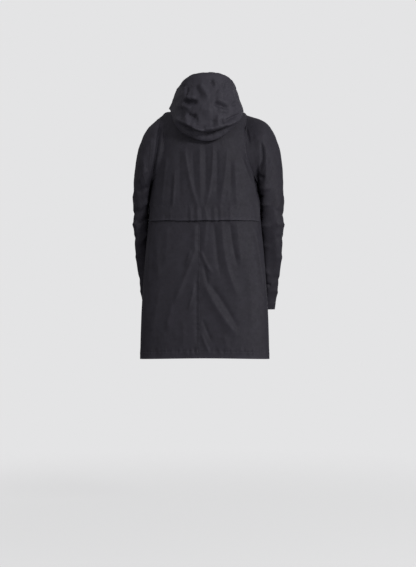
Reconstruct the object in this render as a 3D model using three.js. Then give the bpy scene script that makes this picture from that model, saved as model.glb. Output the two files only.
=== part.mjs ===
// A thigh-length hooded parka as it hangs when it is worn, with the hood down. Millimetres, +Z up.
// The front faces -Y, the coat's left is +X, and the origin is the middle of the neck opening,
// level with the nape.
// Every piece of cloth is a wall made from one smooth form: the body, a sleeve or the hood.
import * as THREE from "three";

// Driving sizes
const CLOTH = 3; // shell, thin wadding and lining sewn as one wall
const SEAM_GAP = 0.3; // between pieces at a seam
const LAP = CLOTH + SEAM_GAP; // from one mid-surface to that of a piece lying on it
const FACET_ROOM = 0.5; // for a piece with columns of its own, which cross its neighbour's flat facets
const APPLIED = LAP + FACET_ROOM;
const ARMHOLE_STEPS = 12; // rows from underarm to shoulder, on each side of an armhole
const ARMHOLE_BACK = 41; // how far the armhole opens round the body, in degrees
const ARMHOLE_FRONT = 37;
const BACK_COLUMNS = 12; // of cloth on each side of the centre-back seam
const FRONT_COLUMNS = 10;
const BACK_SEAM = THREE.MathUtils.degToRad(85.2); // it hangs a little to the coat's left
const PLACKET_HALF = 32;
const PLACKET_HEM_LEVEL = 0.02;
const FLAP_STAND_OFF = 6; // how far the middle of the back flap stands away from the skirt
const HOOD_CENTRE_HALF = 58; // half the width of the hood's middle panel
const SIDE_SEAM_BACK = 19; // degrees behind the side, from the flap down
const SLEEVE_CLEAR = 3.4; // between the body's cloth and the sleeve that lies against it
const SLEEVE_SPREAD = 14; // the right sleeve hangs this much further out than its table, the left in
const HOOD_LEAN = 12; // how far the hood hangs to the coat's right

const FRONT = -Math.PI / 2; // the turn round the body at which the fronts meet
const STEP = 1e-3; // of a parameter, for slopes

// Tables: a row for each section or fold, a named column for each size

/** Turns a list of column names and rows of numbers into a list of objects. */
const table = (columns, rows) =>
  rows.map((row) => Object.fromEntries(columns.map((name, k) => [name, row[k]])));

// The body's rings from hem to neck: heights at the side, back and front, half width, the furthest
// back and front, where the ring is widest, and how square its back and front halves are.
const BODY = table(
  ["sideZ", "backZ", "frontZ", "half", "backY", "frontY", "midY", "backSquare", "frontSquare"],
  [
    [-958, -951, -957, 246, 170, -156, 55, 2.5, 2.1], // hem
    [-860, -857, -860, 244, 168, -155, 55, 2.5, 2.1], // thigh
    [-739, -739, -739, 239, 164, -152, 53, 2.5, 2.1], // hip
    [-560, -560, -560, 226, 156, -144, 48, 2.5, 2.1], // waist
    [-433, -433, -433, 214, 150, -138, 38, 2.6, 2.15], // hem of the back flap
    [-300, -300, -300, 203, 147, -136, 22, 2.7, 2.2], // underarm
    [-214, -206, -212, 198, 145, -132, 10, 2.6, 2.2], // chest
    [-126, -112, -128, 186, 132, -117, 4, 2.4, 2.2], // shoulder blades
    [-22, -40, -58, 162, 104, -93, 2, 2.2, 2.1], // end of the shoulder seam
    [-10, -14, -48, 120, 86, -86, 0, 2.1, 2.0], // trapezius
    [-2, 4, -42, 84, 72, -80, 0, 2.0, 2.0], // neck seam
  ],
);
const LEVEL = { hem: 0, flap: 4, backTop: 4.5, under: 5, shoulder: 8, neck: 10 };

// Soft folds of the body: a line from one point to another as seen from behind (side 1) or from
// in front (side -1), the half width across it, and its height, negative for a trough.
const BODY_FOLDS = table(
  ["side", "fromX", "fromZ", "toX", "toZ", "width", "height"],
  [
    [1, 4, -545, 188, -860, 26, 7], // the long slanting fold to the left hip
    [1, -8, -570, -142, -850, 24, 7], // and to the right hip
    [1, -62, -690, -170, -868, 18, -5],
    [1, 34, -640, 62, -780, 18, 4],
    [1, -72, -470, -112, -690, 22, 5],
    [1, 46, -450, 88, -600, 24, 4],
    [1, -4, -560, -4, -930, 14, -4], // hollow along the centre-back seam
    [1, 62, -160, 30, -400, 16, 4], // the upright folds below the hood
    [1, 34, -190, 10, -410, 12, -3.5],
    [1, -32, -160, -8, -400, 15, 4],
    [1, -92, -250, -82, -420, 15, 3.5],
    [1, 116, -240, 118, -420, 16, 3.5],
    [-1, 96, -330, 150, -760, 30, 6], // the fronts fall in long soft folds
    [-1, -104, -360, -146, -800, 28, 6],
    [-1, 70, -560, 92, -900, 22, -5],
    [-1, -68, -520, -88, -880, 22, -5],
  ],
);

// The sleeve's rings from the armhole to the cuff: where the inner side rests on the body (degrees
// round from the side, and height), the outer side's place, half the depth from front to back, and how
// much further forward, in degrees, and further in the left sleeve hangs.
const SLEEVE = table(
  ["restTurn", "innerZ", "outerX", "outerZ", "halfDepth", "leftTurn", "leftIn"],
  [
    [0, -307, 210, -46, 80, 0, 8],
    [-3, -322, 247, -84, 79, 0, 8],
    [-7, -350, 272, -152, 78, 0, 7],
    [-12, -392, 283, -256, 77, 1, 5],
    [-16, -440, 285, -360, 75, 2, 5],
    [-20, -500, 282, -465, 73, 3, 9],
    [-28, -600, 270, -590, 65, 4, 14],
    [-36, -692, 257, -688, 58, 4, 16],
    [-42, -772, 245, -772, 53, 4, 14], // cuff
  ],
);
// Creases across the sleeve: ring, centre and half arc round it in degrees (0 outside, 90 behind,
// 180 against the body), half width along the sleeve in rings, and height.
const SLEEVE_FOLDS = table(
  ["ring", "turn", "arc", "width", "height"],
  [
    [2.6, 128, 46, 0.26, -6],
    [3.5, 118, 52, 0.22, 5],
    [4.2, 130, 48, 0.2, -6],
    [4.8, 112, 50, 0.2, 5],
    [5.35, 126, 46, 0.2, -5],
    [5.9, 110, 55, 0.22, 4],
    [5.3, 250, 60, 0.24, -5],
    [6.0, 262, 55, 0.24, 4],
    [7.25, 80, 60, 0.16, -4],
  ],
);
const SLEEVE_AROUND = 2 * ARMHOLE_STEPS;

// The lowered hood's rings from the neck seam, out over the shoulders, round the bottom of the
// pouch, up to the fold and in to the rim: the profile at the back, at the side and at the throat,
// how square the ring is behind, and how soon each side reaches the back's height. It sags to the left.
const HOOD = table(
  ["backY", "backZ", "sideX", "sideZ", "frontY", "frontZ", "square", "fallLeft", "fallRight"],
  [
    [99, -15, 100, 12, -86, -33, 2.5, 1.7, 1.7],
    [123, -62, 118, 10, -90, -25, 2.8, 1.8, 1.7],
    [143, -108, 131, 10, -93, -18, 3, 1.9, 1.9],
    [159, -134, 138, 7, -95, -10, 3.1, 2.5, 2.1], // bottom of the pouch
    [182, -119, 139, 6, -97, -2, 3, 3.9, 2.2],
    [200, -89, 136, 14, -98, 6, 2.8, 4.2, 2.2],
    [201, -24, 129, 28, -98, 15, 2.6, 3.2, 2.2],
    [191, 36, 122, 47, -97, 25, 2.5, 2, 2],
    [174, 84, 115, 67, -95, 34, 2.4, 2.2, 2.2],
    [154, 122, 106, 84, -92, 43, 2.4, 2.8, 2.8], // top of the fold
    [130, 108, 94, 76, -86, 40, 2.3, 2.4, 2.4], // rim, turned in
  ],
);
const HOOD_FOLDS = table(
  ["ring", "x", "length", "width", "height"],
  [
    [7.2, 62, 30, 0.5, -7],
    [7.0, -66, 34, 0.5, -6],
    [5.6, 44, 26, 0.5, -6],
    [4.9, -8, 50, 0.4, -5],
    [8.6, -24, 26, 0.5, 4],
  ],
);

// The hand pockets' welts: top and bottom of the slanting mouth on the front, as distance from the
// middle and height, and the welt's width.
const WELT = { topX: 104, topZ: -560, bottomX: 138, bottomZ: -712, width: 26 };

// Curves and surfaces

const clamp = (x, low, high) => Math.min(Math.max(x, low), high);
const mix = (a, b, t) => a + (b - a) * t;
/** A smooth step from 0 at `from` to 1 at `to`. */
function ease(x, from, to) {
  const t = clamp((x - from) / (to - from), 0, 1);
  return t * t * (3 - 2 * t);
}

/** Weights of a Catmull-Rom curve's four points at t. */
const curveWeights = (t) => [
  (-t + 2 * t * t - t ** 3) / 2,
  (2 - 5 * t * t + 3 * t ** 3) / 2,
  (t + 4 * t * t - 3 * t ** 3) / 2,
  (-t * t + t ** 3) / 2,
];

/** The numbers of a table's rows on a smooth curve, at a row number that may lie between rows. */
function along(rows, at) {
  const last = rows.length - 1;
  const first = clamp(Math.floor(at), 0, last - 1);
  const weights = curveWeights(at - first);
  const read = (row, key) => {
    if (row < 0) return 2 * rows[0][key] - rows[1][key];
    if (row > last) return 2 * rows[last][key] - rows[last - 1][key];
    return rows[row][key];
  };
  const found = {};
  for (const key of Object.keys(rows[0]))
    found[key] = weights.reduce((sum, w, k) => sum + w * read(first - 1 + k, key), 0);
  return found;
}

/** A point on a squared ellipse with half axes 1, at a turn round it. */
function squareTurn(turn, square) {
  const [c, s] = [Math.cos(turn), Math.sin(turn)];
  const reach = (Math.abs(c) ** square + Math.abs(s) ** square) ** (-1 / square);
  return [c * reach, s * reach];
}

/** The body's smooth form. Turn 0 is the coat's left side, and a quarter turn on is the back. */
function bodyForm(turn, level) {
  const ring = along(BODY, level);
  const behind = Math.sin(turn) > 0;
  const [across, deep] = squareTurn(turn, behind ? ring.backSquare : ring.frontSquare);
  const reach = behind ? ring.backY - ring.midY : ring.midY - ring.frontY;
  const rise = (behind ? ring.backZ : ring.frontZ) - ring.sideZ;
  return new THREE.Vector3(
    ring.half * across,
    ring.midY + reach * deep,
    ring.sideZ + rise * Math.sin(turn) ** 2,
  );
}

/** The unit normal of a surface of two parameters, by its slopes. */
function normalOf(surface, u, v, facing = 1) {
  const du = surface(u + STEP, v).sub(surface(u - STEP, v));
  const dv = surface(u, v + STEP).sub(surface(u, v - STEP));
  return du.cross(dv).normalize().multiplyScalar(facing);
}
const bodyNormal = (turn, level) => normalOf(bodyForm, turn, level);

/** Height of one straight fold at a point (x, z) of the view: a soft ridge that dies out at its ends. */
function foldHeight(fold, x, z) {
  const [lineX, lineZ] = [fold.toX - fold.fromX, fold.toZ - fold.fromZ];
  const length = Math.hypot(lineX, lineZ);
  const share = ((x - fold.fromX) * lineX + (z - fold.fromZ) * lineZ) / length ** 2;
  const aside = ((x - fold.fromX) * lineZ - (z - fold.fromZ) * lineX) / length;
  const ends = ease(share, -0.1, 0.25) * (1 - ease(share, 0.7, 1.1));
  return fold.height * ends * Math.exp(-((aside / fold.width) ** 2));
}

/** How far the body's folds lift the cloth at a point of its form. */
function bodyFold(point, turn) {
  const behind = Math.sin(turn);
  return BODY_FOLDS.reduce((sum, fold) => {
    const shown = ease(fold.side * behind, 0.15, 0.5);
    return shown ? sum + shown * foldHeight(fold, point.x, point.z) : sum;
  }, 0);
}

/** The body's cloth, `out` from its mid-surface. */
function bodyCloth(turn, level, out = 0) {
  const point = bodyForm(turn, level);
  return point.addScaledVector(bodyNormal(turn, level), bodyFold(point, turn) + out);
}

/** Where a piece begins that is sewn to an edge of the body: beside the edge if it carries on in the
 * same direction, on the body's face if it folds back over it, and in between for angles between. */
function seamStart(edge, outward, normal, next) {
  const toNext = next.clone().sub(edge);
  const angle = Math.atan2(Math.max(toNext.dot(normal), 0), toNext.dot(outward));
  return edge
    .clone()
    .addScaledVector(outward, SEAM_GAP + (CLOTH / 2) * Math.sin(angle))
    .addScaledVector(normal, (APPLIED / 2) * (1 - Math.cos(angle)));
}

// The armhole, an oval round the body's side: 0 at the shoulder, pi/2 behind, pi under the arm
const armholeLevel = (phi) =>
  mix(LEVEL.under, LEVEL.shoulder, (1 + Math.cos(phi)) / 2);
const armholeTurn = (phi) =>
  THREE.MathUtils.degToRad(Math.sin(phi) > 0 ? ARMHOLE_BACK : ARMHOLE_FRONT) * Math.sin(phi);

/** The armhole's edge at phi: the point, the way out of the cloth across the hole, and the normal. */
function armholeEdge(phi) {
  const at = (p) => bodyCloth(armholeTurn(p), armholeLevel(p));
  const normal = bodyNormal(armholeTurn(phi), armholeLevel(phi));
  const round = at(phi + STEP).sub(at(phi - STEP));
  const outward = normal.clone().cross(round).normalize();
  const inHole = bodyForm(0, mix(LEVEL.under, LEVEL.shoulder, 0.5)).sub(at(phi));
  return { point: at(phi), outward: outward.multiplyScalar(Math.sign(outward.dot(inHole))), normal };
}

/** A ring of a sleeve, given by a row of the table, at phi. Both are worked out as the coat's left. */
function sleeveRing(row, phi, left) {
  const turn = THREE.MathUtils.degToRad(row.restTurn - (left ? row.leftTurn : 0));
  const outerX = row.outerX + (left ? -SLEEVE_SPREAD - row.leftIn : SLEEVE_SPREAD);
  const level = levelAt(row.innerZ);
  const away = bodyNormal(turn, level).setZ(0).normalize();
  const inner = bodyForm(turn, level).addScaledVector(away, LAP + SLEEVE_CLEAR);
  inner.z = row.innerZ;
  const outer = inner.clone().addScaledVector(away, (outerX - inner.x) / away.x);
  outer.z = row.outerZ;
  const backward = new THREE.Vector3(-away.y, away.x, 0);
  return inner
    .clone()
    .lerp(outer, (1 + Math.cos(phi)) / 2)
    .addScaledVector(backward, row.halfDepth * Math.sin(phi));
}

/** The body's level at a height of its side. */
function levelAt(z) {
  let [low, high] = [LEVEL.hem, LEVEL.neck];
  for (let k = 0; k < 40; k++) {
    const middle = (low + high) / 2;
    if (along(BODY, middle).sideZ < z) low = middle;
    else high = middle;
  }
  return low;
}

/** Points as rows of a table, so that `along` runs a smooth curve through them. */
const asRow = (p) => ({ x: p.x, y: p.y, z: p.z });

/** The sleeve's form as a function of phi and ring. Its lines from armhole to cuff are kept, one for
 * each phi, as lists of key points. */
function sleeveForm(left) {
  const lines = new Map();
  return (phi, ring) => {
    const key = phi.toFixed(6);
    if (!lines.has(key)) {
      const rings = SLEEVE.map((row) => sleeveRing(row, phi, left));
      const edge = armholeEdge(phi);
      rings.unshift(seamStart(edge.point, edge.outward, edge.normal, rings[0]));
      lines.set(key, rings.map(asRow));
    }
    const { x, y, z } = along(lines.get(key), ring);
    return new THREE.Vector3(x, y, z);
  };
}

/** How far the sleeve's creases lift the cloth. */
function sleeveFold(phi, ring) {
  const degrees = THREE.MathUtils.euclideanModulo(THREE.MathUtils.radToDeg(phi), 360);
  return SLEEVE_FOLDS.reduce((sum, fold) => {
    const round = Math.abs(degrees - fold.turn) / fold.arc;
    const across = (ring - fold.ring) / fold.width;
    return sum + fold.height * (1 - ease(round, 0.3, 1)) * Math.exp(-(across ** 2));
  }, 0);
}
function sleeveCloth(form, phi, ring, out) {
  const normal = normalOf(form, phi, clamp(ring, STEP, SLEEVE.length - STEP), -1);
  return form(phi, ring).addScaledVector(normal, sleeveFold(phi, ring) + out);
}

/** A ring of the hood, given by a row of its table. */
function hoodRing(row, turn) {
  const behind = Math.sin(turn) > 0;
  const [across, deep] = squareTurn(turn, behind ? row.square : 2);
  const rise = (behind ? row.backZ : row.frontZ) - row.sideZ;
  const fall = behind ? (across > 0 ? row.fallLeft : row.fallRight) : 2;
  return new THREE.Vector3(
    row.sideX * across,
    (behind ? row.backY : -row.frontY) * deep,
    row.sideZ + rise * (1 - Math.abs(Math.cos(turn)) ** fall),
  );
}
const hoodLines = new Map();
function hoodLine(turn) {
  const key = turn.toFixed(6);
  if (!hoodLines.has(key)) {
    const behind = ease(Math.sin(turn), -0.2, 0.5);
    const rings = HOOD.map((row, k) => {
      const point = hoodRing(row, turn);
      return point.setX(point.x - HOOD_LEAN * behind * ease(k, -1, 4));
    });
    const edge = bodyCloth(turn, LEVEL.neck);
    const outward = edge.clone().sub(bodyCloth(turn, LEVEL.neck - STEP)).normalize();
    rings.unshift(seamStart(edge, outward, bodyNormal(turn, LEVEL.neck), rings[0]));
    hoodLines.set(key, rings.map(asRow));
  }
  return hoodLines.get(key);
}
function hoodForm(turn, ring) {
  const { x, y, z } = along(hoodLine(turn), ring);
  return new THREE.Vector3(x, y, z);
}
function hoodFold(point, turn, ring) {
  if (Math.sin(turn) < 0.3) return 0;
  return HOOD_FOLDS.reduce((sum, fold) => {
    const across = (point.x - fold.x) / fold.length;
    const down = (ring - fold.ring) / fold.width;
    return sum + fold.height * Math.exp(-(across ** 4) - down ** 2);
  }, 0);
}
function hoodCloth(turn, ring, out) {
  const last = HOOD.length;
  const normal = normalOf(hoodForm, turn, clamp(ring, STEP, last - STEP));
  const point = hoodForm(turn, ring);
  return point.addScaledVector(normal, hoodFold(point, turn, ring) + out);
}

// Walls

/** Moves a grid's edge points in along the cloth by half a seam gap. */
function pullIn(grid, sides) {
  const draw = (point, towards) => {
    const way = towards.clone().sub(point);
    point.addScaledVector(way, SEAM_GAP / 2 / way.length());
  };
  const [lastRow, lastColumn] = [grid.length - 1, grid[0].length - 1];
  if (sides)
    for (const row of grid) {
      draw(row[0], row[1]);
      draw(row[lastColumn], row[lastColumn - 1]);
    }
  for (let i = 0; i <= lastColumn; i++) {
    draw(grid[0][i], grid[1][i]);
    draw(grid[lastRow][i], grid[lastRow - 1][i]);
  }
}

/** A wall of cloth as one closed mesh. `pointAt(i, j, out)` gives a point of the cloth in column i
 * and row j, `out` from its mid-surface; a closed wall is a tube whose last column is its first. */
function wall(columns, rows, pointAt, closed = false) {
  const width = closed ? columns : columns + 1;
  const faces = [CLOTH / 2, -CLOTH / 2].map((out) => {
    const grid = Array.from({ length: rows + 1 }, (_, j) =>
      Array.from({ length: width }, (_, i) => pointAt(i, j, out)),
    );
    pullIn(grid, !closed);
    return grid;
  });
  const points = faces.flat(2);
  const index = [];
  const at = (face, i, j) => (face * (rows + 1) + j) * width + (i % width);
  const quad = (a, b, c, d) => index.push(a, b, c, a, c, d);
  for (let j = 0; j < rows; j++)
    for (let i = 0; i < columns; i++) {
      quad(at(0, i, j), at(0, i + 1, j), at(0, i + 1, j + 1), at(0, i, j + 1));
      quad(at(1, i, j), at(1, i, j + 1), at(1, i + 1, j + 1), at(1, i + 1, j));
    }
  for (let i = 0; i < columns; i++) {
    quad(at(0, i, 0), at(1, i, 0), at(1, i + 1, 0), at(0, i + 1, 0));
    quad(at(0, i, rows), at(0, i + 1, rows), at(1, i + 1, rows), at(1, i, rows));
  }
  if (!closed)
    for (let j = 0; j < rows; j++) {
      quad(at(0, 0, j), at(0, 0, j + 1), at(1, 0, j + 1), at(1, 0, j));
      quad(at(0, columns, j), at(1, columns, j), at(1, columns, j + 1), at(0, columns, j + 1));
    }
  const geometry = new THREE.BufferGeometry();
  geometry.setAttribute(
    "position",
    new THREE.Float32BufferAttribute(points.flatMap((p) => [p.x, p.y, p.z]), 3),
  );
  geometry.setIndex(index);
  geometry.computeVertexNormals();
  return geometry;
}

// Rows that all the body's panels share, so that neighbours have the same points along a seam

const evenly = (from, to, steps) =>
  Array.from({ length: steps + 1 }, (_, k) => mix(from, to, k / steps));
/** Each row has a level at the panel's side edge, where it follows the armhole's oval, and one at
 * its middle edge, where the rows are evenly spaced. */
const straightRows = (from, to, steps) =>
  evenly(from, to, steps)
    .slice(1)
    .map((level) => ({ side: level, middle: level }));
const armholeRows = evenly(Math.PI, 0, ARMHOLE_STEPS).slice(1).map((phi, k) => ({
  side: armholeLevel(phi),
  middle: mix(LEVEL.under, LEVEL.shoulder, (k + 1) / ARMHOLE_STEPS),
}));
const ROWS = [
  { side: LEVEL.hem, middle: LEVEL.hem },
  ...straightRows(LEVEL.hem, LEVEL.flap, 11),
  ...straightRows(LEVEL.flap, LEVEL.backTop, 2),
  ...straightRows(LEVEL.backTop, LEVEL.under, 2),
  ...armholeRows,
  ...straightRows(LEVEL.shoulder, LEVEL.neck, 3),
];
const rowOf = (level) => ROWS.findIndex((row) => Math.abs(row.side - level) < 1e-6);

/** The turn of a left panel's side edge: the side seam, the armhole's edge or the shoulder seam. */
function sideEdge(level, behind) {
  if (level >= LEVEL.shoulder) return 0;
  if (level <= LEVEL.under)
    return THREE.MathUtils.degToRad(SIDE_SEAM_BACK) * (1 - ease(level, LEVEL.flap, LEVEL.under));
  const share = (level - LEVEL.under) / (LEVEL.shoulder - LEVEL.under);
  const phi = Math.acos(2 * share - 1);
  return armholeTurn(behind ? phi : -phi);
}

/** A place on a body panel, at a share of the way from its side edge to its middle edge. */
function panelPlace(row, share, left, behind) {
  const side = sideEdge(row.side, behind);
  const frontMiddle = left ? FRONT : FRONT + 2 * Math.PI;
  return {
    turn: mix(left ? side : Math.PI - side, behind ? BACK_SEAM : frontMiddle, share),
    level: mix(row.side, row.middle, ease(share, 0, 1)),
  };
}

/** The flap is the free lower part of the upper back: it lies on the skirt and stands off a little. */
function flapLift(turn, level) {
  const onSkirt = LAP * (1 - ease(level, LEVEL.backTop, LEVEL.under));
  const middle = Math.max(1 - (Math.cos(turn) / 0.9) ** 2, 0);
  return onSkirt + FLAP_STAND_OFF * middle * (1 - ease(level, LEVEL.flap, LEVEL.backTop));
}

/** The upper back has the columns of both lower backs, so that the flap lies true on them. */
function upperBack() {
  const rows = ROWS.slice(rowOf(LEVEL.flap));
  return wall(2 * BACK_COLUMNS, rows.length - 1, (i, j, out) => {
    const left = i < BACK_COLUMNS;
    const share = (left ? i : 2 * BACK_COLUMNS - i) / BACK_COLUMNS;
    const { turn, level } = panelPlace(rows[j], share, left, true);
    return bodyCloth(turn, level, out + flapLift(turn, level));
  });
}
function lowerBack(left) {
  const rows = ROWS.slice(0, rowOf(LEVEL.backTop) + 1);
  return wall(BACK_COLUMNS, rows.length - 1, (i, j, out) => {
    const share = (left ? i : BACK_COLUMNS - i) / BACK_COLUMNS;
    const { turn, level } = panelPlace(rows[j], share, left, true);
    return bodyCloth(turn, level, out);
  });
}
function front(left) {
  return wall(FRONT_COLUMNS, ROWS.length - 1, (i, j, out) => {
    const share = (left ? FRONT_COLUMNS - i : i) / FRONT_COLUMNS;
    const { turn, level } = panelPlace(ROWS[j], share, left, false);
    return bodyCloth(turn, level, out);
  });
}

/** The turn at which the front reaches a distance x from the middle, on any surface of turn. */
function turnAtX(surface, x) {
  let [low, high] = [FRONT - 1, FRONT + 1];
  for (let k = 0; k < 40; k++) {
    const middle = (low + high) / 2;
    if (surface(middle).x < x) low = middle;
    else high = middle;
  }
  return low;
}

/** The placket covers the closing from the hem to the top of the collar, lying on body and hood. */
function placket() {
  const neckRows = evenly(0, HOOD.length, HOOD.length).slice(1);
  const bodyRows = [PLACKET_HEM_LEVEL, ...ROWS.slice(1, -1).map((row) => row.middle)];
  const rows = [...bodyRows.map((at) => [bodyCloth, at]), ...neckRows.map((at) => [hoodCloth, at])];
  return wall(4, rows.length - 1, (i, j, out) => {
    const [cloth, at] = rows[j];
    const x = mix(-PLACKET_HALF, PLACKET_HALF, i / 4);
    return cloth(turnAtX((turn) => cloth(turn, at, 0), x), at, APPLIED + out);
  });
}

/** A welt lies on the front along its pocket's slanting mouth. */
function welt(left) {
  const side = left ? 1 : -1;
  return wall(2, 6, (i, j, out) => {
    const z = mix(WELT.bottomZ, WELT.topZ, j / 6);
    const middle = mix(WELT.bottomX, WELT.topX, j / 6);
    const x = side * middle + (i / 2 - 0.5) * WELT.width;
    const level = levelAt(z);
    return bodyCloth(turnAtX((turn) => bodyCloth(turn, level), x), level, APPLIED + out);
  });
}

/** The left sleeve, or the right one as if it were on the left. */
function sleeve(left) {
  const form = sleeveForm(left);
  const phiOf = (i) => (-2 * Math.PI * i) / SLEEVE_AROUND;
  const pointAt = (i, j, out) => sleeveCloth(form, phiOf(i), j / 2, out);
  return wall(SLEEVE_AROUND, 2 * SLEEVE.length, pointAt, true);
}

/** The hood's middle panel keeps its width from the neck seam to the rim; the side panels run on
 * round the neck to the throat. */
function hoodPanel(columns, fromTurn, toTurn) {
  const rows = HOOD.length;
  return wall(columns, rows, (i, j, out) => {
    const turn = mix(fromTurn(j), toTurn(j), i / columns);
    return hoodCloth(turn, j, out);
  });
}
function hoodSeam(ring) {
  const side = ring < 1 ? along(BODY, LEVEL.neck).half : HOOD[Math.ceil(ring) - 1].sideX;
  return Math.acos(Math.min(HOOD_CENTRE_HALF / side, 0.8));
}

// The coat

const cloth = new THREE.MeshStandardMaterial({ color: 0x2f2e33, roughness: 0.8, metalness: 0 });
const hoodMaterial = cloth.clone();
hoodMaterial.color.set(0x343338);

const parka = new THREE.Group();
function add(name, geometry, material = cloth) {
  const mesh = new THREE.Mesh(geometry, material);
  mesh.name = name;
  parka.add(mesh);
  return mesh;
}

/** The same piece on the other side: x changes sign, and each triangle is turned round. */
function mirrored(geometry) {
  const other = geometry.clone().scale(-1, 1, 1);
  const index = other.index.array;
  for (let k = 0; k < index.length; k += 3) [index[k + 1], index[k + 2]] = [index[k + 2], index[k + 1]];
  other.computeVertexNormals();
  return other;
}

add("upper_back", upperBack());
for (const [side, left] of [["left", true], ["right", false]]) {
  add("lower_back_" + side, lowerBack(left));
  add("front_" + side, front(left));
  add("pocket_welt_" + side, welt(left));
}
add("placket", placket());
add("sleeve_left", sleeve(true));
add("sleeve_right", mirrored(sleeve(false)));
add("hood_centre", hoodPanel(10, hoodSeam, (ring) => Math.PI - hoodSeam(ring)), hoodMaterial);
add("hood_left", hoodPanel(14, () => FRONT, hoodSeam), hoodMaterial);
add("hood_right", hoodPanel(14, (ring) => Math.PI - hoodSeam(ring), () => Math.PI * 1.5), hoodMaterial);

export default parka;
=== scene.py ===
"""A thigh-length hooded parka that hangs filled out, with its hood down.

The front faces -Y, the coat's left is +X and the origin is the middle of the neck opening. Each piece of
cloth is a closed thin shell on its solid's form, with folds laid on it, rows of stitches on top and
a woven finish. Forms are worked out in millimetres, as a pattern cutter measures, and a mesh is in metres.
"""

import logging
import math
from collections.abc import Callable
from dataclasses import dataclass, field
from enum import Enum

import bpy
import numpy as np
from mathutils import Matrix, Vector


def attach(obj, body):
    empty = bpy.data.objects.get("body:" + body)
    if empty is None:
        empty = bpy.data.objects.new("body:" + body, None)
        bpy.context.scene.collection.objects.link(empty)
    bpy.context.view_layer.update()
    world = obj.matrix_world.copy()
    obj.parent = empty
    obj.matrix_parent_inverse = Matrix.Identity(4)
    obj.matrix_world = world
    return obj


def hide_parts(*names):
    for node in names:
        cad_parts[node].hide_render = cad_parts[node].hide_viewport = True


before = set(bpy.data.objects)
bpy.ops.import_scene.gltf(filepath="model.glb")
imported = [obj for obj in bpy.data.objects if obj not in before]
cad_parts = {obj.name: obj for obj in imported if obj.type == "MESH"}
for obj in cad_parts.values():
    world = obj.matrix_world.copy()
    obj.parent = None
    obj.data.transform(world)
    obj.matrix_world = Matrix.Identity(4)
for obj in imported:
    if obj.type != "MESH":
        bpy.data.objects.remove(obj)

LOG = logging.getLogger("parka")
MM = 0.001
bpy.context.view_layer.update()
Numbers = np.ndarray | float

# Cloth and seams, in millimetres
SPACING = 3.5  # between the points of a shell
THICK = 2.4  # shell, thin wadding and lining
SEAM_LAP = 0.6  # sewn edges run this far into each other, so that no light shows between them
LAP = 3.3  # from one mid-surface to that of a piece lying on it
APPLIED = LAP + 0.5
STEP = 1e-3  # of a parameter, for slopes
HALVINGS = 40  # enough to find a place to the last digit
LATTICE = 64  # numbers each way, before the noise repeats
WORN = 5.0  # how far in from a free edge the wear has faded to about a third

# Folds
CRISP = 1.6  # power of a fold's profile: 2 is soft and 1 has a sharp crest
CHORDS = 8  # straight parts that a fold's curve is taken as
REACH = 3  # half widths past which a fold is too low to count
SEEN = (0.05, 0.45)  # how squarely the cloth must face the view for a fold to start and be full
FADE_IN = (-0.02, 0.22)  # shares of the way along a fold
FADE_OUT = (0.72, 1.02)


# Curves and grids


def mix(a: Numbers, b: Numbers, t: Numbers) -> Numbers:
    """Blend from a at t = 0 to b at t = 1: a + (b - a) t."""
    return a + (b - a) * t


def ease(x: Numbers, start: float, end: float) -> Numbers:
    """Smooth step from 0 at start to 1 at end: 3 t^2 - 2 t^3."""
    t = np.clip((x - start) / (end - start), 0, 1)
    return t * t * (3 - 2 * t)


def unit(v: np.ndarray) -> np.ndarray:
    """Vectors of length 1 along the last axis."""
    return v / np.linalg.norm(v, axis=-1, keepdims=True)


def side_name(left: bool) -> str:
    """The word in a piece's name for the coat's left or right."""
    return "left" if left else "right"


def curve_through(points: np.ndarray, at: np.ndarray) -> np.ndarray:
    """Read a Catmull-Rom curve through points, each a weighted sum of its four neighbours.

    Args:
        points: the curve's points along the first axis, numbered from 0.
        at: the point numbers wanted, which may lie between points.

    Returns:
        The values at those numbers, with the shape of at before that of one point.
    """
    points = np.asarray(points, float)
    first = np.clip(np.floor(at).astype(int), 0, len(points) - 2)
    t = at - first
    ends = [2 * points[:1] - points[1:2], points, 2 * points[-1:] - points[-2:-1]]
    padded = np.concatenate(ends)
    weights = (
        (-t + 2 * t**2 - t**3) / 2,
        (2 - 5 * t**2 + 3 * t**3) / 2,
        (t + 4 * t**2 - 3 * t**3) / 2,
        (-(t**2) + t**3) / 2,
    )
    deep = (1,) * (points.ndim - 1)
    return sum(w.reshape(w.shape + deep) * padded[first + k] for k, w in enumerate(weights))


def squared_turn(turn: np.ndarray, square: np.ndarray) -> tuple[np.ndarray, np.ndarray]:
    """Points of a squared ellipse with half axes 1: r = (|cos|^n + |sin|^n)^(-1/n).

    Args:
        turn: angles round it.
        square: the power n at each, 2 for an ellipse and more for a squarer one.

    Returns:
        The points' places across and deep.
    """
    c, s = np.cos(turn), np.sin(turn)
    reach = (np.abs(c) ** square + np.abs(s) ** square) ** (-1 / square)
    return c * reach, s * reach


def value_noise(u: np.ndarray, v: np.ndarray, seed: int) -> np.ndarray:
    """Smooth noise from -1 to 1: seeded numbers on a unit lattice, blended by smooth steps.

    Args:
        u: places across the lattice.
        v: places along it.
        seed: picks the numbers.

    Returns:
        The noise at those places.
    """
    lattice = np.random.default_rng(seed).uniform(-1, 1, (LATTICE, LATTICE))
    i, j = np.floor(u).astype(int), np.floor(v).astype(int)
    s, t = ease(u - i, 0, 1), ease(v - j, 0, 1)

    def corner(a: int, b: int) -> np.ndarray:
        """The lattice's number at a corner of the cell."""
        return lattice[(i + a) % LATTICE, (j + b) % LATTICE]

    return mix(mix(corner(0, 0), corner(1, 0), s), mix(corner(0, 1), corner(1, 1), s), t)


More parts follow.
